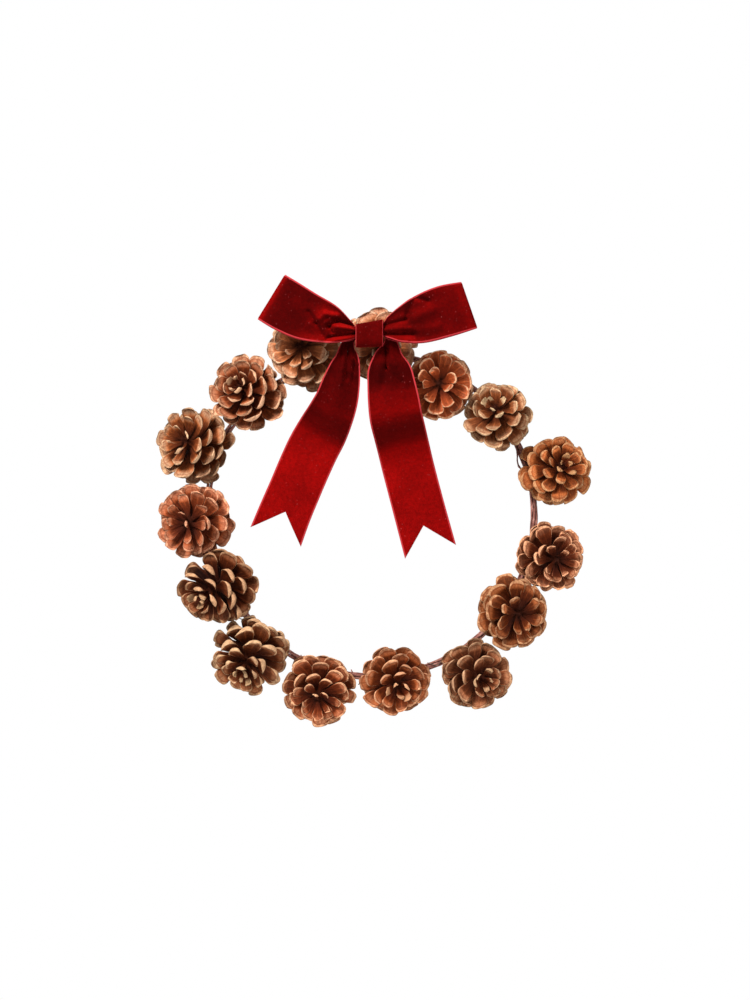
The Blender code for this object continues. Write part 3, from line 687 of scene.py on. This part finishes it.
def binding_wire(clock, base, axis):
    """Points of a binding wire: a twist behind the ring, round the ring, over the stem, and back.

    The two legs mirror each other. The bend over the stem is a part of a circle about it, at the wire's
    distance.
    """
    outward = np.array((math.sin(clock), 0, math.cos(clock)))
    tangent = np.array((math.cos(clock), 0, -math.sin(clock)))
    middle = front_point(clock)
    ring = BUNDLE_RADIUS + WIRE_GAP + WIRE_RADIUS
    hook = STEM_RADIUS + WIRE_GAP + WIRE_RADIUS
    stem = base - axis * WIRE_ON_STEM
    near = 1 if (stem - middle) @ outward >= 0 else -1
    beyond = unit(near * outward - axis * (near * outward @ axis))
    beside = np.cross(axis, beyond)
    beside = -beside if beside @ tangent < 0 else beside
    legs = []
    for side in (1, -1):
        twist = [(0.8 * side * math.cos(a), 0.8 * side * math.sin(a), c) for a, c in TWIST]
        across = -near * DRAWN_RADIUS
        round_ring = [(1.2 * side, 0.78 * across, 3.7), (1.9 * side, 1.04 * across, 0),
                      (2.7 * side, 0.80 * across, -3.9)]
        local = np.array(twist + round_ring) / DRAWN_RADIUS * ring * SLACK
        leg = [middle + a * tangent + b * outward + (0, c, 0) for a, b, c in local]
        if abs((stem - middle) @ outward) > 2 * hook:
            leg.append(middle + side * 0.8 * hook * tangent - (0, ring + 0.0007, 0))
        legs.append(leg + [stem + hook * side * beside])
    bend = [stem + hook * (math.cos(a) * beside + math.sin(a) * beyond) for a in (0.8, 1.57, 2.34)]
    return legs[0] + bend + legs[1][::-1]


def wire_finish():
    """Annealed iron wire with a thin brown paint, worn to dull metal in small spots."""
    made = finish_named("brown wire")
    at = node(made, "ShaderNodeTexCoord").outputs["Object"]
    spots = noise(made, at, 700.0, 3.0, 0.6)
    colour = ramp(made, spots, ((0.35, (0.045, 0.020, 0.014)), (0.65, (0.11, 0.055, 0.035))))
    shade(made, colour, fade(made, spots, 0.35, 0.65, 0.6, 0.4), spots, 0.0001, Metallic=0.3)
    return made


brown_wire = wire_finish()
for number, (spec, base, direction) in enumerate(zip(CONES, bases, directions), 1):
    path = curve_through(binding_wire(math.radians(spec[CLOCK]), base, direction[2]), WIRE_STEPS)
    wire = add(f"wire_{number:02d}", *tube(path, WIRE_RADIUS, 8), brown_wire)
    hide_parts(f"cone_wire_{number:02d}")


# The cut ends of some wires show in front, where they were wound once more round a stalk: clock angle in
# degrees, millimetres outwards and forwards.
LOOSE_RADIUS = 0.0004
LOOSE_ENDS = (
    ((232, 2, 3), (232.6, 5, 7), (231.5, 3.5, 12), (229.8, -1.5, 14), (228.4, -4.6, 12.5), (227.6, -3, 10),
     (228.6, -0.5, 10.5)),
    ((176.5, 3, 3.2), (177.6, 3.4, 5.5), (180.4, 2.6, 6), (183.6, 4.2, 5), (184.8, 6.5, 4.2)),
    ((153.5, -3, 3), (154.4, -1, 5.4), (156.6, 1, 5.2), (158.4, -1.4, 4), (159.6, -3.4, 3.2)),
    ((40.5, -2.6, 3), (41.6, -4.5, 4.4), (43.5, -4.4, 4.6), (44.6, -2.4, 3.6)),
)
for number, places in enumerate(LOOSE_ENDS, 1):
    end = add(f"wire_end_{number}", *tube(free_path(places), LOOSE_RADIUS, 8), brown_wire)


# Bow: red velvet ribbon 40 mm wide, 0.9 mm thick at its pile and thin at its woven edges. Each loop is
# drawn out of the knot, folded at its outer end and brought back. The tails hang from the knot, notched.
RIBBON_THICKNESS = 0.0009
TAIL_NOTCH = 0.0216
RIBBON_ROWS, RIBBON_COLUMNS = 150, 61
KNOT = (-0.0025, -0.0590, 0.0137)
BAND_WIDTH, BAND_HEIGHT, BAND_DEPTH = 21.0, 19.6, 12.5
# Loops, in millimetres from the knot: top edge (right, up), foot edge (right, up), back, pleat depth.
LEFT_LOOP = (
    (-1, 5.5, -1, -2.5, -1.5, 0.3), (-9.8, 6.2, -9.8, -2.2, -2, 0.4), (-14.5, 11, -14.5, -4, -4, 1.2),
    (-25, 21.5, -29.5, -6.6, -8, 1.6), (-41, 31.1, -53.6, -4, -9.5, 0.8), (-54, 39.4, -71.6, 3.2, -7.5, 0),
    (-65, 46.2, -86.2, 11.8, -2.5, 0), (-55, 38.9, -72.5, 3.6, 0.5, 0), (-42, 30.1, -54.6, -3.6, 1, 0),
    (-26, 20.5, -30.5, -6.2, 1, 0.3), (-14.5, 10, -14.5, -4.5, 1, 0.4), (-9.8, 5.8, -9.8, -2.2, 1, 0.3),
    (-1, 5, -1, -2, 1, 0.2),
)
RIGHT_LOOP = (
    (1, 7, 1, -2, -1.5, 0.3), (10, 8.8, 10, -0.9, -2, 0.4), (14.5, 14.2, 14.8, -2.5, -4, 1.2),
    (23.7, 21.8, 25.2, -5.9, -8, 1.6), (35.2, 29.5, 42.1, -6.4, -9.5, 0.8), (53, 37, 63, -1.3, -7.5, 0),
    (71, 40.6, 83.4, 4.9, -2.5, 0), (53.5, 36.5, 63.5, -1.4, 0.5, 0), (35.7, 28.5, 42.6, -6.3, 1, 0),
    (23.7, 20.8, 25.7, -6, 1, 0.3), (14.5, 12.5, 14.5, -3.5, 1, 0.4), (10, 8.6, 10, -1, 1, 0.3),
    (1, 6.5, 1, -1.5, 1, 0.2),
)
# Tails: right, up, back, width, pleat depth.
LEFT_TAIL = (
    (-3, 0, 2.9, 7.5, 0), (-9.8, 0.4, 2.8, 7.3, 0.1), (-14.9, -2.4, 5.2, 8.2, 0.4),
    (-17.4, -10, 7.8, 12.4, 0.8), (-17.6, -18.5, 6, 19.9, 1.5), (-19.6, -28, 2.4, 25.6, 1.6),
    (-22, -38, 0.5, 29.8, 1.4), (-25.5, -51, 1, 33.5, 0.8), (-30.8, -63, 10, 37, 0.3),
    (-37, -74, 27, 40, 0), (-44.5, -87, 36, 41, 0), (-52, -103, 40, 41.2, 0), (-59.3, -120, 42.5, 41.2, 0),
    (-67, -138, 44, 41.8, 0), (-74.5, -157.2, 45, 43, 0),
)
RIGHT_TAIL = (
    (3, 2, 3.0, 7, 0), (9.8, 2.8, 2.8, 7, 0.1), (15.2, -0.2, 4.8, 7.6, 0.4), (16.6, -7, 7.2, 12.2, 0.8),
    (15.3, -16, 6.4, 23.8, 1.5), (15.6, -26, 2, 33.6, 1.6), (17, -38, -2.5, 37.2, 1.1),
    (18.9, -52, -3, 40, 0.6), (20.7, -64, 1, 41, 0.2), (23.4, -74, 13, 41.2, 0), (26.6, -86, 29, 41.2, 0),
    (30.6, -102, 38, 41.2, 0), (35.6, -121, 41.5, 41.2, 0), (41.2, -142, 44, 41.5, 0),
    (48.5, -169, 45, 42, 0),
)
# Folds, in millimetres: from (right, up) to (right, up), half width, and depth, below nought on a ridge.
LEFT_FOLDS = (
    (-12, 6.5, -26, 9.5, 2.0, 4.2), (-26, 9.5, -31, 6, 2.2, 3.6), (-31, 6, -29, 2, 1.8, 2.6),
    (-12, 3.4, -26, 5, 1.9, -2.4), (-12, 1.2, -31, -3, 1.8, 3.4), (-11, -1.8, -28, -4.6, 1.8, -2.2),
    (-46.5, 17, -41, 8, 1.8, 2.4), (-41, 8, -34, -5, 1.8, 2.8), (-39.6, 10.4, -34, 15, 2.0, -2.0),
    (-34, 15, -24, 14.2, 2.0, -2.0), (-45, 7, -38, -4, 2.6, -1.6), (-58, 22, -66, 30, 6.0, -1.6),
)
RIGHT_FOLDS = (
    (11, 6.5, 29, 11, 2.2, 4.0), (12, 3.2, 31, 4, 1.9, -2.2), (12, 0.3, 34, -0.5, 2.2, 3.4),
    (12, -2.6, 29, -5.5, 1.9, -2.0), (33, 29, 45, 25, 2.0, 2.0), (37, 31, 29.5, 15, 2.8, 2.0),
    (29.5, 15, 27.6, 3.4, 2.6, 1.8), (31, 12, 48, 18, 4.0, -1.4), (36, 2, 52, 5, 4.0, -1.2),
    (60, 22, 70, 12, 6.0, -1.2),
)
LEFT_TAIL_FOLDS = (
    (-17, -12, -17.5, -34, 1.8, 2.8), (-11.5, -24, -13, -36, 1.6, 1.8), (-10, -10, -9, -20, 1.4, 2.0),
    (-19, -10, -21, -27, 1.2, -1.8), (-21, -27, -22.2, -38, 1.4, -1.4), (-15.6, -10, -13, -18.5, 1.2, -1.8),
    (-13, -18.5, -7.2, -25, 1.2, -1.8), (-15.7, -27, -10.6, -32, 1.3, -1.4),
)
RIGHT_TAIL_FOLDS = (
    (12.5, -8, 13.7, -26, 1.7, 3.6), (13.7, -26, 11, -38, 3.0, 2.6), (13.7, -26, 24, -37, 3.0, 2.2),
    (15.5, -8, 20, -24, 1.6, -1.6), (20, -12, 28, -38, 2.4, -1.4), (9, -14, 6, -34, 2.0, -1.2),
)
# Folds are pressed into the front run of a loop, and into a tail down to near its end: the rows they reach.
LOOP_FOLD_ROWS, TAIL_FOLD_ROWS = 68, 140
FADING_ROWS = 9
# Painted light and shade on the pile, along each piece from the knot: (place, share, open). share is how
# much the painted brightness follows the ribbon's slope there, and open how much lighter or darker it is
# painted besides, such as the painted highlight along a loop's outer fold and the painted shade where a
# tail leans back.
LEFT_LOOP_PAINTED_LIGHT = (
    (0, 0, 0.28), (0.12, 0.1, 0.28), (0.19, 0.75, 0.2), (0.28, 1, 0.38), (0.35, 0.3, 0.12),
    (0.44, 0.2, 0.06), (0.462, 0.3, 0.2), (0.48, 0.4, 0.7), (0.5, 0.4, 0.6), (0.55, 0.6, 0.1), (1, 1, 0.1),
)
RIGHT_LOOP_PAINTED_LIGHT = (
    (0, 0, 0.26), (0.12, 0.05, 0.26), (0.18, 0.15, 0.26), (0.25, 0.35, 0.22), (0.33, 0.75, 0.12),
    (0.45, 0.9, 0.08), (0.472, 0.9, 0.3), (0.5, 0.8, 0.45), (0.55, 0.6, 0.1), (1, 1, 0.1),
)
LEFT_TAIL_PAINTED_LIGHT = (
    (0, 0, 0.25), (0.145, 0, 0.25), (0.183, 0, -0.02), (0.22, 0, 0.02), (0.258, 0, 0.14), (0.295, 0, 0.2),
    (0.332, 0, 0.40), (0.376, 0, 0.58), (0.432, 0, 0.41), (0.503, 0, 0.54), (0.557, 0, 0.93),
    (0.603, 0, 0.98), (0.65, 0, 0.92), (1, 0, 0.90),
)
RIGHT_TAIL_PAINTED_LIGHT = (
    (0, 0, 0.3), (0.15, 0, 0.27), (0.187, 0, 0), (0.224, 0, -0.08), (0.26, 0, 0.05), (0.294, 0, 0.50),
    (0.328, 0, 0.62), (0.363, 0, 0.8), (0.402, 0, 0.66), (0.456, 0, 0.50), (0.516, 0, 0.54),
    (0.57, 0, 1.04), (0.612, 0, 1.16), (0.65, 0, 1.08), (0.69, 0, 1.00), (0.75, 0, 0.88), (1, 0, 0.86),
)
# The knot band's pile has one even painted brightness.
KNOT_PAINTED_LIGHT = 0.36
# Width of a selvedge as a share of the ribbon's, and the ribbon's thickness there in metres.
SELVEDGE = 0.026
PILE_EDGE = 0.00035


def bow_point(right, up, back):
    """Point of the bow, in millimetres to the right of, above and behind the knot."""
    return np.array(KNOT) + np.stack(np.broadcast_arrays(right, back, up), axis=-1) / 1000


def wave(v):
    """Pleats at v, -1 to 1 across a ribbon: a sine that runs through one and a half waves."""
    return np.sin(1.5 * math.pi * (v + 1))


def loop_surface(sections, rows, columns):
    """Middle surface of a loop: straight from its top edge to its foot edge, with pleats across.

    A point mixes the two edges' points by its share of the way across, and is moved back by
    depth * wave * (1 - 0.35 * v**2).
    """
    top_right, top_up, foot_right, foot_up, back, depth = curve_through(sections, rows).T[:, :, None]
    v = np.linspace(-1, 1, columns)
    share = (v[:, None] + 1) / 2
    surface = bow_point(top_right, top_up, back) * (1 - share) + bow_point(foot_right, foot_up, back) * share
    surface[..., 1] += depth * wave(v) * (1 - 0.35 * v**2) / 1000
    return surface


def tail_surface(sections, rows, columns):
    """Middle surface of a tail: its width laid across a path, with pleats, and its end cut to a notch.

    A point is the path's point plus v * width / 2, square to the path as it looks from the front, and is
    moved back by depth * wave. At its end the path is shorter by TAIL_NOTCH * (1 - |v|), and the fifth power
    of the share keeps that to its end.
    """
    lines = curve_through(sections, 60)
    middle = bow_point(*lines[:, :3].T)
    steps = np.concatenate([[0], np.cumsum(np.linalg.norm(np.diff(middle, axis=0), axis=1))])
    v = np.linspace(-1, 1, columns)
    share = np.linspace(0, 1, rows)[:, None]
    at = share * (steps[-1] - TAIL_NOTCH * (1 - np.abs(v)) * share**5)
    ahead = np.gradient(middle, axis=0)
    tables = (*middle.T, ahead[:, 0], ahead[:, 2], lines[:, 3], lines[:, 4])
    x, y, z, ahead_x, ahead_z, width, depth = [np.interp(at, steps, table) for table in tables]
    level = unit(np.stack((-ahead_z, np.zeros_like(at), ahead_x), axis=-1))
    surface = np.stack((x, y, z), axis=-1) + level * (v * width / 2000)[..., None]
    surface[..., 1] += depth / 1000 * wave(v)
    return surface


def folded(surface, folds, rows):
    """Presses soft folds into the first rows, and fades them out over FADING_ROWS.

    Each moves a point back by depth * exp(-(distance / width)**2), the distance being to the fold's line.
    """
    place = (surface - np.array(KNOT))[..., ::2] * 1000
    fading = np.clip((rows - np.arange(len(surface))) / FADING_ROWS, 0, 1)[:, None]
    for x0, z0, x1, z1, width, depth in folds:
        start, run = np.array((x0, z0)), np.array((x1 - x0, z1 - z0))
        t = (place - start) @ run / (run @ run)
        off = np.linalg.norm(place - start - np.clip(t, 0, 1)[..., None] * run, axis=-1)
        surface[..., 1] += np.exp(-((off / width) ** 2)) * depth / 1000 * fading
    return surface


def painted_pile_light(surface, pile):
    """Painted light and shade on the pile, 0 to 1, from the rows of a pile table.

    It is share * slope + (0.2 + 0.55 * share) * facing up + open + 0.25 * share * v**6, v being -1 to 1
    across and facing up at least -0.4: painted light where the ribbon faces up, painted shade where it
    faces down, and a painted highlight along its edges. The slope term is (1 - rise) / 2, less
    1.3 * (slope back - 1/4) and half of any slope forwards, so the pile is painted brightest where the
    ribbon runs down and painted darkest, as shade, where it leans to the back.
    """
    run, across = unit(np.gradient(surface, axis=0)), unit(np.gradient(surface, axis=1))
    facing = unit(np.cross(run, across))
    facing = facing * -np.sign(facing[..., 1:2])
    back, rise = run[..., 1], run[..., 2]
    # Painted light and shade by slope: lighter where the ribbon runs down, darker where it leans back.
    looks = 0.5 - 0.5 * rise - 1.3 * np.maximum(back - 0.25, 0) - 0.5 * np.maximum(-back, 0)
    at = np.linspace(0, 1, len(surface))
    place, shares, painted_lifts = np.array(pile).T
    share, painted_lift = [np.interp(at, place, values)[:, None] for values in (shares, painted_lifts)]
    # Painted light where the ribbon faces up, painted shade where it faces down.
    up = np.maximum(facing[..., 2], -0.4) * (0.2 + 0.55 * share)
    # Painted highlight along the ribbon's edges.
    edge = 0.25 * np.linspace(-1, 1, surface.shape[1]) ** 6 * share
    return np.clip(np.clip(looks, 0.04, 1) * share + up + painted_lift + edge, 0, 1)


def thickened(surface, normal, v, start, run):
    """Points on both sides of a ribbon's middle surface, v being -1 to 1 across.

    Each lies half the thickness away: the ribbon's up to start, then falling to a selvedge's over a run of
    v.
    """
    pile = 1 - np.clip((np.abs(v) - start) / run, 0, 1)
    half = normal * (PILE_EDGE + (RIBBON_THICKNESS - PILE_EDGE) * pile)[None, :, None] / 2
    return np.concatenate([(surface + half).reshape(-1, 3), (surface - half).reshape(-1, 3)])


def ribbon_solid(surface, pile):
    """Points and faces of a ribbon, and how far across each point is and the painted light and shade of its
    pile there.
    """
    rows, columns = surface.shape[:2]
    v = np.linspace(-1, 1, columns)
    normal = unit(np.cross(np.gradient(surface, axis=0), np.gradient(surface, axis=1)))
    points = thickened(surface, normal, v, 1 - 2 * SELVEDGE, 0.02)
    count = rows * columns
    grid = np.arange(count).reshape(rows, columns)
    sheet = np.stack((grid[:-1, :-1], grid[1:, :-1], grid[1:, 1:], grid[:-1, 1:]), axis=-1).reshape(-1, 4)
    rim = np.concatenate((grid[0], grid[1:, -1], grid[-1, -2::-1], grid[-2:0:-1, 0]))
    following = np.roll(rim, -1)
    edge = np.stack((rim, following, following + count, rim + count), axis=-1)
    faces = np.concatenate((sheet, sheet[:, ::-1] + count, edge))
    across = np.tile(np.broadcast_to(0.5 + 0.5 * v, (rows, columns)).reshape(-1), 2)
    painted_light = np.tile(painted_pile_light(surface, pile).reshape(-1), 2)
    return points, faces.tolist(), np.stack((across, painted_light, across * 0, across * 0 + 1), axis=-1)


SELVEDGE_COLOUR = (0.32, 0.024, 0.028)
LINT_COLOUR = (0.50, 0.10, 0.10)


def velvet_finish():
    """Cotton velvet: a deep red pile with paler selvedges, painted lighter and darker by the painted light
    and shade of the attribute ribbon, and brighter by its sheen where seen edge on.

    The painted brightness picks a red from a ramp, which three noises vary: broad patches, small crumples
    and the pile's own grain. The peaks of a fourth are specks of lint.
    """
    made = finish_named("red velvet")
    layer = node(made, "ShaderNodeAttribute", attribute_name="ribbon")
    across, painted_light, _ = node(made, "ShaderNodeSeparateColor", {0: layer.outputs["Color"]}).outputs
    at = node(made, "ShaderNodeTexCoord").outputs["Object"]
    patches = noise(made, at, 42.0, 3.0, 0.5)
    pile = noise(made, at, 2600.0, 2.0, 0.6)
    crumpled = noise(made, at, 420.0, 3.0, 0.6)
    lint = noise(made, at, 950.0, 0.0, 0.4)
    # Painted light and shade: the pile's red is picked by its painted brightness, dark red where painted in
    # shade and bright red where painted lit.
    colour = ramp(made, painted_light, ((0.0, (0.025, 0.0001, 0.0001)), (0.4, (0.058, 0.0003, 0.0003)),
                                (0.75, (0.115, 0.0006, 0.0005)), (1.0, (0.185, 0.0012, 0.0010))))
    for spread, low, high in ((patches, 0.84, 1.20), (crumpled, 0.80, 1.20), (pile, 0.70, 1.28)):
        colour = toned(made, colour, spread, ((0.3, (low,) * 3), (0.7, (high,) * 3)))
    edge = calc(made, "ABSOLUTE", calc(made, "MULTIPLY_ADD", across, 2.0, -1.0))
    woven = fade(made, edge, 1 - 2 * SELVEDGE - 0.012, 1 - 2 * SELVEDGE)
    colour = mixed(made, woven, colour, SELVEDGE_COLOUR)
    colour = mixed(made, product(made, fade(made, lint, 0.81, 0.86), 0.30), colour, LINT_COLOUR)
    shade(made, colour, fade(made, pile, 0.3, 0.7, 0.95, 0.85), pile, 0.0004, Specular_IOR_Level=0.02,
          Sheen_Weight=0.35, Sheen_Roughness=0.3, Sheen_Tint=(1, 0.02, 0.015, 1))
    return made


velvet = velvet_finish()


def ribbon(name, surface, pile, stands_for):
    """One piece of ribbon: its mesh, the solid it stands for, and how it lies as a sheet."""
    points, faces, values = ribbon_solid(surface, pile)
    piece = add(name, points, faces, velvet)
    colour_points(piece, "ribbon", values)
    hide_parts(stands_for)


for side, sections, folds, pile in (("left", LEFT_LOOP, LEFT_FOLDS, LEFT_LOOP_PAINTED_LIGHT),
                                    ("right", RIGHT_LOOP, RIGHT_FOLDS, RIGHT_LOOP_PAINTED_LIGHT)):
    surface = folded(loop_surface(sections, RIBBON_ROWS, RIBBON_COLUMNS), folds, LOOP_FOLD_ROWS)
    surface = surface[:, ::-1] if side == "right" else surface
    ribbon(f"loop_{side}", surface, pile, f"bow_loop_{side}")
for side, sections, folds, pile in (("left", LEFT_TAIL, LEFT_TAIL_FOLDS, LEFT_TAIL_PAINTED_LIGHT),
                                    ("right", RIGHT_TAIL, RIGHT_TAIL_FOLDS, RIGHT_TAIL_PAINTED_LIGHT)):
    surface = folded(tail_surface(sections, RIBBON_ROWS, RIBBON_COLUMNS), folds, TAIL_FOLD_ROWS)
    ribbon(f"tail_{side}", surface, pile, f"bow_tail_{side}")
# The band over the knot: the same ribbon, pleated narrower and wrapped once round, in a ring that is a box
# with rounded corners in section (sine and cosine to the power 0.7), askew from one edge to the other.
steps, columns = 72, 21
count = steps * columns
turn = np.linspace(0, 2 * math.pi, steps + 1)[:-1, None]
across = np.linspace(-1, 1, columns)
inset = RIBBON_THICKNESS * 500
high, deep = np.sin(turn), -np.cos(turn)
up = (BAND_HEIGHT / 2 - inset + 0.7 * across) * np.sign(high) * np.abs(high) ** 0.7 + 1.2 * across + 0.3
back = (BAND_DEPTH / 2 - inset) * np.sign(deep) * np.abs(deep) ** 0.7
back = back + 0.35 * np.cos(5 * across) * (deep < 0)
band = bow_point(across * BAND_WIDTH / 2, up, back)
around = np.concatenate((band[-1:], band, band[:1]))
normal = unit(np.cross(np.gradient(around, axis=0), np.gradient(around, axis=1)))[1:-1]
ring = np.arange(count).reshape(steps, columns)
ahead = np.roll(ring, -1, 0)
sheet = np.stack((ring[:, :-1], ahead[:, :-1], ahead[:, 1:], ring[:, 1:]), axis=-1).reshape(-1, 4)
edges = [np.stack((ahead[:, 0], ring[:, 0], ring[:, 0] + count, ahead[:, 0] + count), axis=-1),
         np.stack((ring[:, -1], ahead[:, -1], ahead[:, -1] + count, ring[:, -1] + count), axis=-1)]
faces = np.concatenate([sheet, sheet[:, ::-1] + count] + edges)
knot = add("knot_band", thickened(band, normal, across, 0.93, 0.04), faces.tolist(), velvet)
places = np.tile(np.broadcast_to(0.5 + 0.5 * across * 0.99, (steps, columns)).reshape(-1), 2)
nought = places * 0
colour_points(knot, "ribbon", np.stack((places, nought + KNOT_PAINTED_LIGHT, nought, nought + 1), axis=-1))
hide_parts("bow_knot_band")


# Tie wire: the same brown iron wire, which holds the bow. It goes round the ring on one side of the middle
# cone, up between the cones, across behind the knot, and down to the ring on the other side.
MIDDLE_CONE = 13
TIE_CLOCKS = (349, 13)
# How each leg rises from the ring: metres outwards and forwards.
TIE_RISE = ((-0.007, 0.010), (-0.010, 0.024), (-0.013, 0.038), (-0.012, 0.047))
legs = []
for plane, clock in zip(limits[MIDDLE_CONE], TIE_CLOCKS):
    clock = math.radians(clock)
    outward = np.array((math.sin(clock), 0, math.cos(clock)))
    round_ring = BUNDLE_RADIUS + 2 * WIRE_GAP + WIRE_RADIUS
    leg = [front_point(clock) + round_ring * (math.sin(a) * outward + (0, -math.cos(a), 0))
           for a in np.radians((140, 180, -130, -90, -50))]
    for out, depth in TIE_RISE:
        point = front_point(clock, out, depth)
        leg.append(point + plane[1] * ((plane[0] - point) @ plane[1] + CONE_GAP))
    legs.append(leg)
behind = [bow_point(right, 1, BAND_DEPTH / 2 + 0.8) for right in (-BAND_WIDTH / 2, BAND_WIDTH / 2)]
path = curve_through(legs[0] + behind + legs[1][::-1], 200)
tie = add("tie_wire", *tube(path, WIRE_RADIUS, 8), brown_wire)
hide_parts("bow_tie_wire")


# Studio: an even white room, dimmer towards the wreath than to the camera and to reflections. Soft lamps
# stand high on the left and level on the right, and a pale floor lies well below the wreath.
def lamp(name, place, aim, size, power):
    """A round soft lamp at a place, tipped and turned so that it looks at its aim."""
    light = bpy.data.lights.new(name, "AREA")
    light.shape, light.size, light.energy = "DISK", size, power
    holder = bpy.data.objects.new(name, light)
    holder.location = place
    x, y, z = np.array(place, float) - np.array(aim, float)
    holder.rotation_euler = (math.atan2(math.hypot(x, y), z), 0, math.atan2(x, -y))
    bpy.context.scene.collection.objects.link(holder)


WREATH_MIDDLE = (0, -0.03, -0.12)
ROOM_LIGHT = 0.45
FLOOR_HEIGHT, FLOOR_SIDES = -0.75, 64
lamp("key", (-0.9, -1.5, 1.1), WREATH_MIDDLE, 0.8, 92)
lamp("fill", (1.3, -1.4, 0.1), WREATH_MIDDLE, 1.4, 20)
room = bpy.data.worlds.new("white room")
room.use_nodes = True
bpy.context.scene.world = room
sky = room.node_tree.nodes["Background"]
sky.inputs["Color"].default_value = (1, 1, 1, 1)
rays = node(room, "ShaderNodeLightPath").outputs
seen = calc(room, "MAXIMUM", rays["Is Camera Ray"], rays["Is Glossy Ray"])
seen = calc(room, "MAXIMUM", seen, rays["Is Transmission Ray"])
strength = node(room, "ShaderNodeMapRange", {"Value": seen, "To Min": ROOM_LIGHT, "To Max": 1.0})
room.node_tree.links.new(strength.outputs[0], sky.inputs["Strength"])
bpy.context.scene.view_settings.view_transform = "Standard"

turns = np.arange(FLOOR_SIDES) * 2 * math.pi / FLOOR_SIDES
floor_points = np.stack((np.cos(turns), np.sin(turns), np.full(FLOOR_SIDES, FLOOR_HEIGHT)), axis=1)
floor_mesh = bpy.data.meshes.new("floor")
floor_mesh.from_pydata(floor_points, [], [list(range(FLOOR_SIDES))])
pale = finish_named("pale floor")
paint = pale.node_tree.nodes["Principled BSDF"].inputs
paint["Base Color"].default_value = (0.86, 0.86, 0.85, 1)
paint["Roughness"].default_value = 0.9
floor_mesh.materials.append(pale)
floor = bpy.data.objects.new("floor", floor_mesh)
bpy.context.scene.collection.objects.link(floor)
